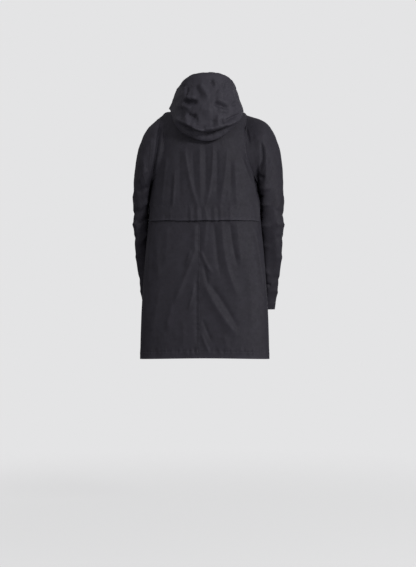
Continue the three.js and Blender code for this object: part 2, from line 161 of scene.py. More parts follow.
def crumple(u: np.ndarray, v: np.ndarray, cell: tuple[float, float], seed: int) -> np.ndarray:
    """Crumpled cloth from about -1 to 1: noise whose place is pushed about by other noise.

    Args:
        u: millimetres across the cloth.
        v: millimetres along it.
        cell: the usual size of one hollow, across and along.
        seed: picks the pattern.

    Returns:
        The height, with creases where the noise changes sign.
    """
    a, b = u / cell[0], v / cell[1]
    push = value_noise(a * 0.7, b * 0.7, seed + 1)
    soft = value_noise(a + 0.9 * push, b - 0.7 * push, seed)
    sharp = 1 - 2 * np.abs(value_noise(a * 1.6 - push, b * 1.6, seed + 2)) ** 0.7
    return 0.65 * soft + 0.35 * sharp


# Folds, as they are seen from one side


class View(Enum):
    """A side that the coat is seen from: the two axes of that view, and the way towards it."""

    BACK = ((0, 2), (0, 1, 0))
    FRONT = ((0, 2), (0, -1, 0))
    LEFT = ((1, 2), (1, 0, 0))
    RIGHT = ((1, 2), (-1, 0, 0))


# Each row is a fold as a curve: start, a point that it bends towards, and end, then half its width, its
# height (negative for a trough) and how far it leans, so that one flank is steeper.
BACK_FOLDS = (
    # upright folds of the upper back, drawn together towards the middle of the flap
    (76, -140, 66, -279, 20, -396, 8, 4.1, 0.2),
    (18, -132, 20, -260, 12, -392, 9, 3.4, 0.0),
    (-31, -135, -36, -268, -2, -390, 6.5, 4.1, 0.2),
    (-86, -150, -81, -262, -52, -400, 9, 3.6, 0.0),
    (-112, -195, -118, -300, -122, -410, 8, 3.2, 0.2),
    (-88, -315, -90, -355, -97, -400, 5, 2.7, 0.0),
    (-91, -325, -92, -360, -92, -394, 5, -2.7, 0.0),
    (112, -240, 114, -320, 120, -400, 5, 3.8, 0.2),
    (140, -180, 154, -270, 161, -400, 8, 2.8, 0.2),
    (180, -190, 184, -250, 192, -340, 8, 2.4, 0.0),
    (93, -160, 95, -260, 92, -370, 10, -3.1, 0.0),
    (46, -160, 42, -260, 33, -340, 8, -2.8, 0.0),
    (-2, -140, -4, -240, -4, -340, 9, -3.2, 0.0),
    (-46, -150, -48, -260, -44, -355, 8, -3.1, 0.0),
    (-98, -190, -98, -280, -100, -340, 8, -2.2, 0.0),
    (126, -250, 130, -320, 132, -395, 8, -2.0, 0.0),
    # puckers across the flap's band
    (128, -376, 127, -405, 125, -452, 6, 1.7, 0.0),
    (55, -376, 52, -408, 50, -452, 5, 1.8, 0.2),
    (29, -374, 27, -405, 27, -452, 5, 1.8, 0.0),
    (2, -374, -4, -402, -10, -452, 6, 2.0, 0.2),
    (-34, -378, -37, -408, -40, -452, 6, 1.8, 0.0),
    (-58, -370, -61, -405, -62, -452, 5, 1.6, 0.0),
    (-92, -378, -95, -408, -96, -452, 5, 1.6, 0.0),
    (65, -380, 64, -410, 62, -450, 5, -1.3, 0.0),
    (40, -376, 39, -408, 38, -450, 5, -1.6, 0.0),
    (13, -376, 12, -408, 12, -450, 5, -1.6, 0.0),
    (-22, -376, -22, -408, -24, -450, 5, -1.6, 0.0),
    (-48, -380, -50, -410, -50, -450, 5, -1.3, 0.0),
    # the skirt: short folds under the flap, then long ones that fan out from the middle seam
    (37, -452, 40, -500, 36, -565, 8, 2.6, 0.0),
    (-8, -430, 0, -490, 2, -560, 9, 2.9, 0.2),
    (20, -430, 20, -500, 18, -590, 8, -2.6, 0.0),
    (-65, -420, -61, -594, -133, -735, 13, 5.5, 0.2),
    (-95, -430, -100, -520, -126, -612, 8, -4.4, 0.0),
    (-35, -430, -42, -540, -60, -655, 9, -4.1, 0.0),
    (-118, -420, -128, -510, -137, -615, 12, 4.1, 0.2),
    (30, -530, 79, -668, 124, -765, 11, 6.5, 0.2),
    (118, -735, 136, -800, 142, -860, 10, 3.2, 0.0),
    (52, -540, 62, -580, 74, -608, 7, 3.2, 0.0),
    (37, -670, 46, -730, 65, -775, 6, 4.1, 0.2),
    (10, -650, -34, -765, -132, -880, 15, 6.2, 0.2),
    (-14, -674, -66, -722, -134, -860, 10, -4.3, 0.0),
    (16, -545, 2, -590, -32, -640, 6, 4.4, 0.2),
    (4, -600, -4, -640, -14, -682, 6, -4.4, 0.0),
    (14, -850, 0, -900, -20, -935, 7, 3.7, 0.2),
    (10, -800, -8, -850, -28, -895, 6, -3.2, 0.0),
    (30, -610, 32, -760, 30, -920, 9, -3.5, 0.0),
    (168, -680, 180, -780, 208, -890, 13, 3.7, 0.0),
    (138, -440, 144, -520, 146, -610, 12, 2.4, 0.0),
    (190, -450, 178, -560, 172, -670, 14, 2.3, 0.0),
    (-160, -530, -172, -680, -180, -870, 16, 2.6, 0.0),
    (84, -800, 78, -860, 82, -925, 10, 2.4, 0.0),
    (-70, -860, -84, -900, -92, -940, 12, 2.4, 0.0),
    # the crease down each armhole, where sleeve and body part
    (163, -40, 186, -182, 204, -310, 5.5, -12.0, 0.0),
    (202, -260, 210, -390, 219, -520, 7, -10.0, 0.0),
    (219, -480, 224, -600, 218, -720, 6, -4.0, 0.0),
    (152, -70, 168, -150, 186, -250, 9, 3.2, 0.3),
    (-212, -130, -234, -199, -204, -250, 6, -10.0, 0.0),
    (-203, -220, -196, -289, -202, -370, 7.5, -12.0, 0.0),
    (-206, -340, -210, -420, -216, -500, 6.5, -9.0, 0.0),
    (-216, -488, -228, -610, -240, -740, 5, -5.0, 0.0),
    (-152, -63, -164, -96, -172, -142, 5, -6.0, 0.3),
    (-140, -70, -148, -110, -158, -150, 8, 3.6, 0.3),
    (-142, -178, -168, -246, -190, -310, 5, 8.0, 0.0),
    (-186, -280, -198, -350, -204, -450, 5, 7.0, 0.0),
    (-182, -440, -206, -563, -230, -780, 9, 8.0, 0.0),
    # the right sleeve's short creases, pushed up along the arm
    (-200, -258, -214, -262, -232, -268, 6.5, -8.0, 0.3),
    (-208, -300, -230, -304, -256, -310, 10, 5.0, 0.0),
    (-200, -338, -214, -332, -234, -336, 6, -9.0, 0.3),
    (-210, -364, -232, -366, -256, -372, 8, 4.5, 0.0),
    (-206, -388, -216, -388, -232, -392, 5, -5.0, 0.3),
    (-208, -409, -218, -412, -232, -424, 6.5, -9.0, 0.3),
    (-214, -440, -234, -446, -256, -452, 9, 4.5, 0.0),
    (-214, -478, -222, -476, -234, -480, 6, -7.0, 0.3),
    (-218, -512, -238, -520, -262, -534, 8, 3.4, 0.2),
    (-222, -600, -240, -616, -258, -640, 8, 3.6, 0.3),
    (-238, -668, -246, -670, -258, -678, 6, -7.0, 0.3),
    (-186, -100, -220, -140, -262, -200, 16, 3.4, 0.2),
    (-230, -150, -232, -320, -231, -500, 17, 13.0, 0.0),
    (-231, -400, -238, -560, -248, -740, 15, 12.0, 0.0),
    (-222, -150, -246, -210, -268, -300, 16, -2.0, 0.0),
    # and the left's, in its shade
    (216, -236, 232, -250, 250, -290, 8, 5.0, 0.3),
    (214, -300, 236, -306, 256, -330, 8, -5.0, 0.2),
    (216, -352, 238, -362, 254, -396, 8, 5.0, 0.3),
    (220, -412, 240, -426, 258, -452, 8, -4.8, 0.2),
    (222, -470, 240, -490, 252, -530, 9, 4.4, 0.2),
    (196, -110, 226, -160, 246, -240, 15, 3.6, 0.2),
    (226, -170, 231, -330, 229, -500, 15, 9.0, 0.0),
    (229, -430, 236, -560, 234, -700, 13, 6.0, 0.0),
)
FRONT_FOLDS = (
    # the fronts fall from the chest, and bulge a little over the pockets
    (70, -110, 104, -210, 120, -330, 16, 3.9, 0.2),
    (-64, -120, -98, -230, -128, -340, 15, 4.2, -0.2),
    (60, -240, 78, -380, 70, -540, 16, 4.4, 0.2),
    (-66, -260, -74, -400, -88, -560, 17, 4.2, -0.2),
    (150, -300, 136, -420, 140, -520, 14, 4.7, 0.3),
    (-146, -310, -140, -430, -122, -540, 14, 4.4, -0.3),
    (100, -420, 96, -560, 62, -700, 13, -3.9, 0.0),
    (-100, -400, -92, -560, -70, -720, 13, -3.9, 0.0),
    (150, -690, 140, -800, 152, -930, 20, 6.8, 0.2),
    (-154, -700, -138, -820, -150, -940, 20, 6.5, -0.2),
    (84, -720, 92, -830, 84, -930, 15, 4.9, 0.0),
    (-88, -740, -96, -840, -86, -940, 15, 4.9, 0.0),
    (116, -780, 122, -870, 118, -945, 12, -4.7, 0.0),
    (-120, -790, -124, -870, -118, -945, 12, -4.7, 0.0),
    (52, -820, 56, -880, 52, -940, 10, 3.4, 0.0),
    # the sleeves' insides of the elbow
    (228, -330, 246, -350, 262, -350, 7, -5.7, 0.3),
    (222, -380, 246, -392, 266, -388, 7, 5.7, 0.3),
    (224, -430, 244, -438, 262, -424, 7, -6.0, 0.3),
    (226, -480, 246, -484, 262, -466, 8, 5.5, 0.3),
    (214, -640, 228, -660, 244, -662, 7, 4.7, 0.2),
    (-238, -340, -258, -352, -278, -346, 7, -5.7, 0.3),
    (-236, -390, -258, -402, -280, -392, 7, 5.7, 0.3),
    (-238, -436, -256, -450, -276, -440, 7, -5.7, 0.3),
    (-236, -486, -254, -500, -272, -484, 8, 5.5, 0.3),
    (-230, -650, -244, -668, -260, -660, 7, 4.7, 0.2),
    (204, -130, 226, -190, 240, -280, 14, 3.9, 0.2),
    (-216, -130, -240, -190, -256, -280, 14, 3.9, 0.2),
)
# On the sleeves' outer sides, across and height: long folds over the upper arm, rings at the elbow
SLEEVE_SIDE_FOLDS = (
    (40, -120, 20, -220, 30, -330, 16, 3.2, 0.2),
    (-30, -130, -44, -230, -36, -340, 15, -2.8, 0.0),
    (60, -300, 20, -350, -30, -362, 12, 3.6, 0.3),
    (70, -380, 10, -416, -60, -404, 10, -4.2, 0.2),
    (60, -436, 0, -452, -70, -430, 10, 4.4, 0.3),
    (50, -486, -10, -506, -80, -482, 10, -3.6, 0.2),
    (10, -560, -40, -580, -100, -556, 12, 3.2, 0.2),
    (-20, -640, -70, -664, -116, -650, 10, -3.0, 0.2),
    (-50, -690, -90, -712, -130, -704, 9, 3.2, 0.3),
)
# The lowered hood's own folds from behind
HOOD_FOLDS = (
    # the lip of the pouch, whose underside is in shade
    (122, -36, 5, -144, -132, -44, 12, 9.0, 0.3),
    (108, -54, 4, -180, -116, -62, 11, -16.0, 0.0),
    # two deep creases where the crown folds down, with the cloth above hanging over them
    (82, 8, 58, 11, 22, 8, 6.5, -13.0, 0.2),
    (80, 22, 56, 26, 30, 21, 8, 5.0, -0.3),
    (84, 0, 68, -8, 50, -20, 7, 4.5, 0.2),
    (-32, 5, -57, -6, -97, -18, 6.5, -10.0, 0.2),
    (-40, 20, -62, 8, -98, 0, 8, 4.0, -0.3),
    (-48, -18, -66, -24, -90, -28, 8, 3.0, 0.0),
    (-62, -34, -78, -37, -96, -35, 6, -4.0, 0.2),
    # slivers by the left seam
    (70, 72, 74, 52, 69, 30, 4.5, 5.0, 0.2),
    (64, 66, 66, 46, 63, 24, 4.5, -5.0, 0.0),
    (58, 48, 59, 34, 56, 14, 4.5, 4.0, 0.2),
    (78, 84, 84, 70, 80, 50, 7, -4.5, 0.2),
    # the crown's slanting ridges and small wrinkles
    (20, 82, 2, 52, -16, 16, 11, 6.0, 0.4),
    (36, 74, 24, 44, 10, 20, 11, -4.5, 0.0),
    (-3, 54, -8, 38, -15, 26, 5, 3.0, 0.2),
    (-22, 90, -30, 80, -36, 66, 5, -4.5, 0.2),
    (-31, 94, -40, 84, -44, 70, 5.5, 3.6, 0.2),
    (-64, 84, -72, 74, -80, 60, 5.5, -4.0, 0.2),
    (-74, 86, -82, 76, -88, 62, 6, 3.2, 0.2),
    (-46, 50, -62, 40, -76, 36, 12, 3.4, 0.0),
    (-84, 36, -96, 30, -104, 18, 9, -3.0, 0.0),
    (-102, -6, -110, 4, -119, 16, 6, -5.0, 0.2),
    (-96, 60, -104, 40, -108, 22, 8, 3.0, 0.2),
    # the pouch
    (90, -4, 88, -30, 76, -58, 10, -6.0, 0.2),
    (69, -36, 66, -62, 50, -84, 6.5, 7.0, 0.3),
    (62, -30, 50, -56, 28, -38, 5.5, -7.5, 0.2),
    (50, -42, 38, -62, 22, -62, 9, -5.0, 0.0),
    (46, -85, 26, -96, -2, -98, 5, 6.5, 0.2),
    (44, -78, 18, -88, -8, -91, 5.5, -6.5, 0.0),
    (20, -14, 0, -26, -30, -20, 14, 3.6, 0.0),
    (-34, -60, -32, -76, -34, -90, 6, -4.5, 0.0),
    (-48, -42, -50, -62, -50, -84, 7, 4.5, 0.0),
    (-62, -56, -66, -66, -66, -78, 6, -4.5, 0.0),
    (-72, -66, -98, -52, -134, -30, 5, -7.0, 0.3),
    (-74, -84, -104, -66, -138, -42, 6, 5.0, 0.3),
    (112, 40, 112, 0, 96, -40, 12, -4.0, 0.0),
    (104, 20, 100, -10, 92, -40, 8, 3.0, 0.2),
)


def fold_relief(points: np.ndarray, normals: np.ndarray, view: View, folds: tuple) -> np.ndarray:
    """Height that a view's folds give the cloth, in millimetres.

    Each fold is a parabola through its row's points; a point's height is the fold's height times
    exp(-(distance / half width)^CRISP), fading at both ends and where the cloth turns away from the view.

    Args:
        points: the cloth's points.
        normals: its unit normals.
        view: the side that the folds are drawn from.
        folds: rows as in the tables above.

    Returns:
        One height for each point.
    """
    axes, towards = view.value
    flat = points[..., list(axes)]
    facing = ease(normals @ np.array(towards, float), *SEEN)
    height = np.zeros(points.shape[:-1])
    steps = np.linspace(0, 1, CHORDS + 1)[:, None]
    for row in folds:
        start, bend, end = (np.array(row[k : k + 2], float) for k in (0, 2, 4))
        width, peak, lean = row[6:]
        path = start * (1 - steps) ** 2 + 2 * bend * steps * (1 - steps) + end * steps**2
        low, high = path.min(0) - REACH * width, path.max(0) + REACH * width
        near = np.all((flat > low) & (flat < high), -1)
        near &= facing > 0
        if not near.any():
            continue
        spot = flat[near]
        best = np.full(len(spot), np.inf)
        share = np.zeros(len(spot))
        side = np.zeros(len(spot))
        for k, (a, b) in enumerate(zip(path[:-1], path[1:])):
            way = b - a
            t = np.clip((spot - a) @ way / (way @ way), 0, 1)
            off = spot - a - t[:, None] * way
            far = np.hypot(off[:, 0], off[:, 1])
            closer = far < best
            best[closer] = far[closer]
            share[closer] = (k + t[closer]) / CHORDS
            side[closer] = np.sign(way[0] * off[closer, 1] - way[1] * off[closer, 0])
        ends = ease(share, *FADE_IN) * (1 - ease(share, *FADE_OUT))
        half = width * (1 + lean * side)
        height[near] += peak * ends * np.exp(-((best / half) ** CRISP))
    return height * facing


# Shells


class Edge(Enum):
    """An edge of a cloth's grid: the axis across it, and whether it is the far end of that axis."""

    LEFT = (1, False)
    RIGHT = (1, True)
    BOTTOM = (0, False)
    TOP = (0, True)


@dataclass(frozen=True)
class Hem:
    """A turned edge or seam allowance that a row of stitches holds down.

    A free edge, such as a cuff, wears; one that is sewn to its neighbour doesn't.
    """

    edge: Edge
    inset: float  # from the edge to the stitches
    rise: float = 0.6  # how far the doubled cloth stands up
    pucker: float = 0.7  # height of the puckers beside the stitches
    free: bool = True
    groove: float = 0.7  # depth that the stitches pull the cloth in by
    groove_half: float = 1.8
    pucker_half: float = 11.0
    pucker_cell: tuple[float, float] = (9.0, 40.0)  # of the puckers, along the row and across it
    gather_cell: tuple[float, float] = (4.5, 30.0)  # and of finer ones between them


@dataclass
class Cloth:
    """A piece of cloth as a grid of points, rows along it and columns across it."""

    name: str
    form: np.ndarray  # the mid-surface
    flat: tuple[float, float]  # metres across and along, laid flat
    area: float  # square metres, laid flat
    tube: bool = False
    facing: float = 1.0  # 1 where the way across times the way along points outwards, else -1
    hems: tuple[Hem, ...] = ()
    coarse: Numbers = 0.0  # folds that bend the whole wall
    fine: Numbers = 0.0  # crumple of the outer face
    seed: int = 1
    outer: np.ndarray = field(init=False)  # the outer face, once it is built

    @property
    def normals(self) -> np.ndarray:
        """Unit normals of the mid-surface: the slope across times the slope along.

        Returns:
            One for each point, pointing outwards.
        """
        if self.tube:
            ring = np.concatenate([self.form[:, -1:], self.form, self.form[:, :1]], 1)
            across = np.gradient(ring, axis=1)[:, 1:-1]
        else:
            across = np.gradient(self.form, axis=1)
        return unit(np.cross(across, np.gradient(self.form, axis=0))) * self.facing

    def distance(self, axis: int) -> np.ndarray:
        """Millimetres along the cloth from the first row or column, summed from point to point.

        Args:
            axis: 0 to go along the cloth, 1 to go across it.

        Returns:
            The distance of each point.
        """
        steps = np.linalg.norm(np.diff(self.form, axis=axis), axis=-1)
        pad = [(0, 0), (0, 0)]
        pad[axis] = (1, 0)
        return np.cumsum(np.pad(steps, pad), axis=axis)

    def from_edge(self, edge: Edge) -> np.ndarray:
        """Millimetres along the cloth from one of its edges.

        Args:
            edge: the edge.

        Returns:
            The distance of each point.
        """
        axis, far = edge.value
        run = self.distance(axis)
        return np.take(run, [-1], axis) - run if far else run

    def hem_relief(self) -> np.ndarray:
        """Height of the hems: doubled cloth, a groove at the stitches, and puckers beside them.

        The cloth drops from the hem's rise to 0 by a smooth step at the row; groove and puckers fade
        from the row by exp(-(distance / half width)^2).

        Returns:
            One height for each point.
        """
        height = np.zeros(self.form.shape[:2])
        for number, hem in enumerate(self.hems):
            away = self.from_edge(hem.edge)
            beside = self.distance(1 - hem.edge.value[0])
            from_row = away - hem.inset
            (long, wide), (short, narrow) = hem.pucker_cell, hem.gather_cell
            pull = value_noise(beside / long, away / wide, self.seed + number)
            pull += 0.6 * value_noise(beside / short, away / narrow, self.seed + 7 + number)
            height += hem.rise * (1 - ease(from_row, -2.5, 1.5))
            height -= hem.groove * np.exp(-((from_row / hem.groove_half) ** 2))
            height += hem.pucker * pull * np.exp(-((from_row / hem.pucker_half) ** 2))
        return height

    def build(self) -> bpy.types.Object:
        """Make the closed shell: both faces are half the thickness from the mid-surface, plus relief.

        Returns:
            The object, which stands for its node.
        """
        normals = self.normals
        height = THICK / 2 + self.coarse + self.fine + self.hem_relief()
        self.outer = self.form + normals * height[..., None]
        under = self.form + normals * (self.coarse - THICK / 2 + np.zeros(self.form.shape[:2]))[..., None]
        outside = round_edges(self.outer, normals, self.tube)
        return shell_object(self, outside, round_edges(under, -normals, self.tube))

    def line(self, hem: Hem) -> tuple[np.ndarray, np.ndarray, np.ndarray]:
        """The row of stitches along a hem.

        Args:
            hem: one of this cloth's hems, once the cloth is built.

        Returns:
            Its points on the outer face, the unit way along it and the unit normals.
        """
        away = self.from_edge(hem.edge)
        grid = np.concatenate([self.outer, self.normals], -1)
        if hem.edge.value[0] == 0:
            away, grid = away.T, grid.swapaxes(0, 1)
        if hem.edge.value[1]:
            away, grid = away[:, ::-1], grid[:, ::-1]
        at = (away < hem.inset).sum(1)
        rows = np.arange(len(away))
        low, high = away[rows, at - 1], away[rows, at]
        share = ((hem.inset - low) / (high - low))[:, None]
        found = mix(grid[rows, at - 1], grid[rows, at], share)
        if self.tube:
            found = np.concatenate([found, found[:1]])
        points = found[:, :3]
        return points, unit(np.gradient(points, axis=0)), unit(found[:, 3:])


def round_edges(face: np.ndarray, normals: np.ndarray, tube: bool) -> np.ndarray:
    """Curl a face's edges over by a quarter circle of half the cloth's thickness.

    Args:
        face: the grid of the outer or inner face.
        normals: unit normals away from the middle of the cloth.
        tube: whether the first column follows the last.

    Returns:
        The grid with two more rows, and columns unless it is a tube, at each edge.
    """
    radius = THICK / 2
    sides = (0, 0) if tube else (2, 2)
    grid = np.pad(face, ((2, 2), sides, (0, 0)), mode="edge")
    up = np.pad(normals, ((2, 2), sides, (0, 0)), mode="edge")
    sink = np.zeros(grid.shape[:2])
    for axis in (0,) if tube else (0, 1):
        way = unit(np.gradient(grid, axis=axis) + 1e-9)
        for step, angle in ((1, math.pi / 4), (0, math.pi / 2)):
            for at, sign in ((step, -1), (grid.shape[axis] - 1 - step, 1)):
                inner = 2 if sign < 0 else grid.shape[axis] - 3
                out = np.take(way, [inner], axis) * sign * radius * math.sin(angle)
                where = (slice(None),) * axis + (slice(at, at + 1),)
                grid[where] = grid[where] + out
                sink[where] = np.maximum(sink[where], radius * (1 - math.cos(angle)))
    return grid - up * sink[..., None]


def grid_faces(rows: int, columns: int, tube: bool) -> np.ndarray:
    """Quads of a grid, going round the way that it faces.

    Args:
        rows: number of rows.
        columns: number of columns.
        tube: whether the last column joins the first.

    Returns:
        For each quad the numbers of its four corners.
    """
    across = columns if tube else columns - 1
    j, i = np.mgrid[0 : rows - 1, 0:across]
    after = (i + 1) % columns
    quads = [j * columns + i, j * columns + after, (j + 1) * columns + after, (j + 1) * columns + i]
    return np.stack(quads, -1).reshape(-1, 4)


def shell_object(cloth: Cloth, top: np.ndarray, under: np.ndarray) -> bpy.types.Object:
    """Join two faces into a closed shell whose last loops are shared.

    Args:
        cloth: the piece, for its name and cut.
        top: the outer face's grid.
        under: the inner face's grid, of the same size.

    Returns:
        The object, which rides on the root and replaces its node.
    """
    rows, columns = top.shape[:2]
    number = np.arange(rows * columns).reshape(rows, columns)
    edge = np.zeros((rows, columns), bool)
    edge[[0, -1]] = True
    if not cloth.tube:
        edge[:, [0, -1]] = True
    lower = np.where(edge, number, 0)
    lower[~edge] = rows * columns + np.arange((~edge).sum())
    outer = grid_faces(rows, columns, cloth.tube)
    if cloth.facing < 0:
        outer = outer[:, ::-1]
    inner = lower.reshape(-1)[outer[:, ::-1]]
    points = np.concatenate([top.reshape(-1, 3), under[~edge]])
    across, along = cloth.distance(1), cloth.distance(0)
    lengths = np.stack([across, along], -1)
    pad = (0, 0) if cloth.tube else (2, 2)
    lengths = np.pad(lengths, ((2, 2), pad, (0, 0)), mode="edge")
    place = np.concatenate([lengths.reshape(-1, 2), lengths[~edge]])
    near = np.full(cloth.form.shape[:2], np.inf)
    for hem in cloth.hems:
        if hem.free:
            near = np.minimum(near, cloth.from_edge(hem.edge))
    worn = np.pad(np.exp(-near / WORN), ((2, 2), pad), mode="edge")
    wear = np.concatenate([worn.reshape(-1), worn[~edge]])
    piece = mesh_object("cloth_" + cloth.name, points, np.concatenate([outer, inner]), place, wear)
    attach(piece, "root")
    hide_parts(cloth.name)
    return piece


def mesh_object(
    name: str,
    points: np.ndarray,
    faces: np.ndarray,
    place: np.ndarray | None = None,
    wear: np.ndarray | None = None,
) -> bpy.types.Object:
    """Make a smooth mesh object at the origin.

    Args:
        name: the object's name.
        points: its points in millimetres.
        faces: quads as point numbers.
        place: each point's distance across and along the cloth, which becomes the UV map.
        wear: each point's closeness to an edge, which becomes the attribute "wear".

    Returns:
        The object, in the scene.
    """
    mesh = bpy.data.meshes.new(name)
    mesh.vertices.add(len(points))
    mesh.vertices.foreach_set("co", (points * MM).astype(np.float32).ravel())
    mesh.loops.add(faces.size)
    mesh.loops.foreach_set("vertex_index", faces.astype(np.int32).ravel())
    mesh.polygons.add(len(faces))
    mesh.polygons.foreach_set("loop_start", np.arange(0, faces.size, 4, dtype=np.int32))
    mesh.polygons.foreach_set("use_smooth", np.ones(len(faces), bool))
    mesh.update(calc_edges=True)
    if place is not None:
        layer = mesh.uv_layers.new(name="cloth")
        layer.data.foreach_set("uv", (place * MM)[faces.ravel()].astype(np.float32).ravel())
    if wear is not None:
        mesh.attributes.new("wear", "FLOAT", "POINT").data.foreach_set("value", wear.astype(np.float32))
    mesh.validate()
    piece = bpy.data.objects.new(name, mesh)
    bpy.context.scene.collection.objects.link(piece)
    return piece


# Forms


@dataclass
class Body:
    """The coat's trunk: rings from hem to neck, and folds that fall over it."""

    # height at the side, back and front, half width, furthest back and front, y where the ring is
    # widest, and how square its back and front are
    rings: tuple = (
        (-958, -951, -957, 246, 170, -156, 55, 2.5, 2.1),  # hem
        (-860, -857, -860, 244, 168, -155, 55, 2.5, 2.1),  # thigh
        (-739, -739, -739, 239, 164, -152, 53, 2.5, 2.1),  # hip
        (-560, -560, -560, 226, 156, -144, 48, 2.5, 2.1),  # waist
        (-433, -433, -433, 214, 150, -138, 38, 2.6, 2.15),  # hem of the back flap
        (-300, -300, -300, 203, 147, -136, 22, 2.7, 2.2),  # underarm
        (-214, -206, -212, 198, 145, -132, 10, 2.6, 2.2),  # chest
        (-126, -112, -128, 186, 132, -117, 4, 2.4, 2.2),  # shoulder blades
        (-22, -40, -58, 162, 104, -93, 2, 2.2, 2.1),  # end of the shoulder seam
        (-10, -14, -48, 120, 86, -86, 0, 2.1, 2.0),  # trapezius
        (-2, 4, -42, 84, 72, -80, 0, 2.0, 2.0),  # neck seam
    )
    # levels of the rings above, and between them
    hem: float = 0.0
    flap: float = 4.0
    back_top: float = 4.5  # where the skirt ends under the flap
    under: float = 5.0
    shoulder: float = 8.0
    neck: float = 10.0
    # turns: how far the armhole reaches to back and front, and where the seams run
    armhole_back: float = math.radians(41)
    armhole_front: float = math.radians(37)
    back_seam: float = math.radians(85.2)
    side_seam: float = math.radians(19)
    radius: float = 215.0  # of the trunk, about, to turn an angle into millimetres
    ripple: tuple[float, float] = (34.0, 150.0)  # usual width and length of a shallow ripple
    ripple_height: float = 0.9
    crumple_cell: tuple[float, float] = (26.0, 44.0)
    crumple_height: float = 0.5
    calm: float = 0.3  # share of both that is left at the coat's sides

    def ring(self, level: np.ndarray) -> list[np.ndarray]:
        """The ring's sizes at a level, each as an array."""
        return list(np.moveaxis(curve_through(np.array(self.rings), np.asarray(level, float)), -1, 0))

    def form(self, turn: np.ndarray, level: np.ndarray) -> np.ndarray:
        """The mid-surface: a squared ellipse whose height goes from side to back by sin(turn)^2.

        Args:
            turn: angles round the coat, 0 at its left side and a quarter turn on at the back.
            level: ring numbers, which may lie between rings.

        Returns:
            The points.
        """
        turn, level = np.broadcast_arrays(np.asarray(turn, float), np.asarray(level, float))
        side_z, back_z, front_z, half, back_y, front_y, mid_y, back_square, front_square = self.ring(level)
        behind = np.sin(turn) > 0
        across, deep = squared_turn(turn, np.where(behind, back_square, front_square))
        reach = np.where(behind, back_y - mid_y, mid_y - front_y)
        rise = np.where(behind, back_z, front_z) - side_z
        return np.stack([half * across, mid_y + reach * deep, side_z + rise * np.sin(turn) ** 2], -1)

    def normal(self, turn: np.ndarray, level: np.ndarray) -> np.ndarray:
        """Unit normals by small steps: the slope across times the slope up.

        Args:
            turn: angles round the coat.
            level: ring numbers.

        Returns:
            The normals, pointing outwards.
        """
        across = self.form(turn + STEP, level) - self.form(turn - STEP, level)
        up = self.form(turn, level + STEP) - self.form(turn, level - STEP)
        return unit(np.cross(across, up))

    def level_at(self, z: float) -> float:
        """The level at which the side has a height, by halving.

        Args:
            z: the height in millimetres.

        Returns:
            The level.
        """
        low, high = self.hem, self.neck
        for _ in range(HALVINGS):
            middle = (low + high) / 2
            if self.ring(middle)[0] < z:
                low = middle
            else:
                high = middle
        return low

    def armhole(self, phi: np.ndarray) -> tuple[np.ndarray, np.ndarray]:
        """Turn and level of the armhole's edge, an oval: phi 0 at the shoulder, pi under the arm."""
        wide = np.where(np.sin(phi) > 0, self.armhole_back, self.armhole_front)
        return wide * np.sin(phi), mix(self.under, self.shoulder, (1 + np.cos(phi)) / 2)

    def relief(self, turn: np.ndarray, level: np.ndarray) -> tuple[np.ndarray, np.ndarray]:
        """How far the cloth stands off the form.

        Args:
            turn: angles round the coat.
            level: ring numbers.

        Returns:
            Folds that bend the whole wall, and crumples that only the outer face has.
        """
        points, normals = self.form(turn, level), self.normal(turn, level)
        coarse = fold_relief(points, normals, View.BACK, BACK_FOLDS)
        coarse += fold_relief(points, normals, View.FRONT, FRONT_FOLDS)
        u, v = turn * self.radius, points[..., 2]
        fade = ease(np.abs(np.sin(turn)), 0.1, 0.5)
        upright = value_noise(u / self.ripple[0], v / self.ripple[1], 11)
        fine = self.ripple_height * upright + self.crumple_height * crumple(u, v, self.crumple_cell, 5)
        return coarse, fine * (self.calm + 0.7 * fade)


BODY = Body()
# Levels that a panel's rows run between, and the millimetres of cloth from one to the other
STRETCHES = (
    (BODY.hem, BODY.flap, 525),
    (BODY.flap, BODY.back_top, 67),
    (BODY.back_top, BODY.under, 67),
    (BODY.shoulder, BODY.neck, 95),
)
ARMHOLE_LENGTH = 320  # from under the arm to the shoulder


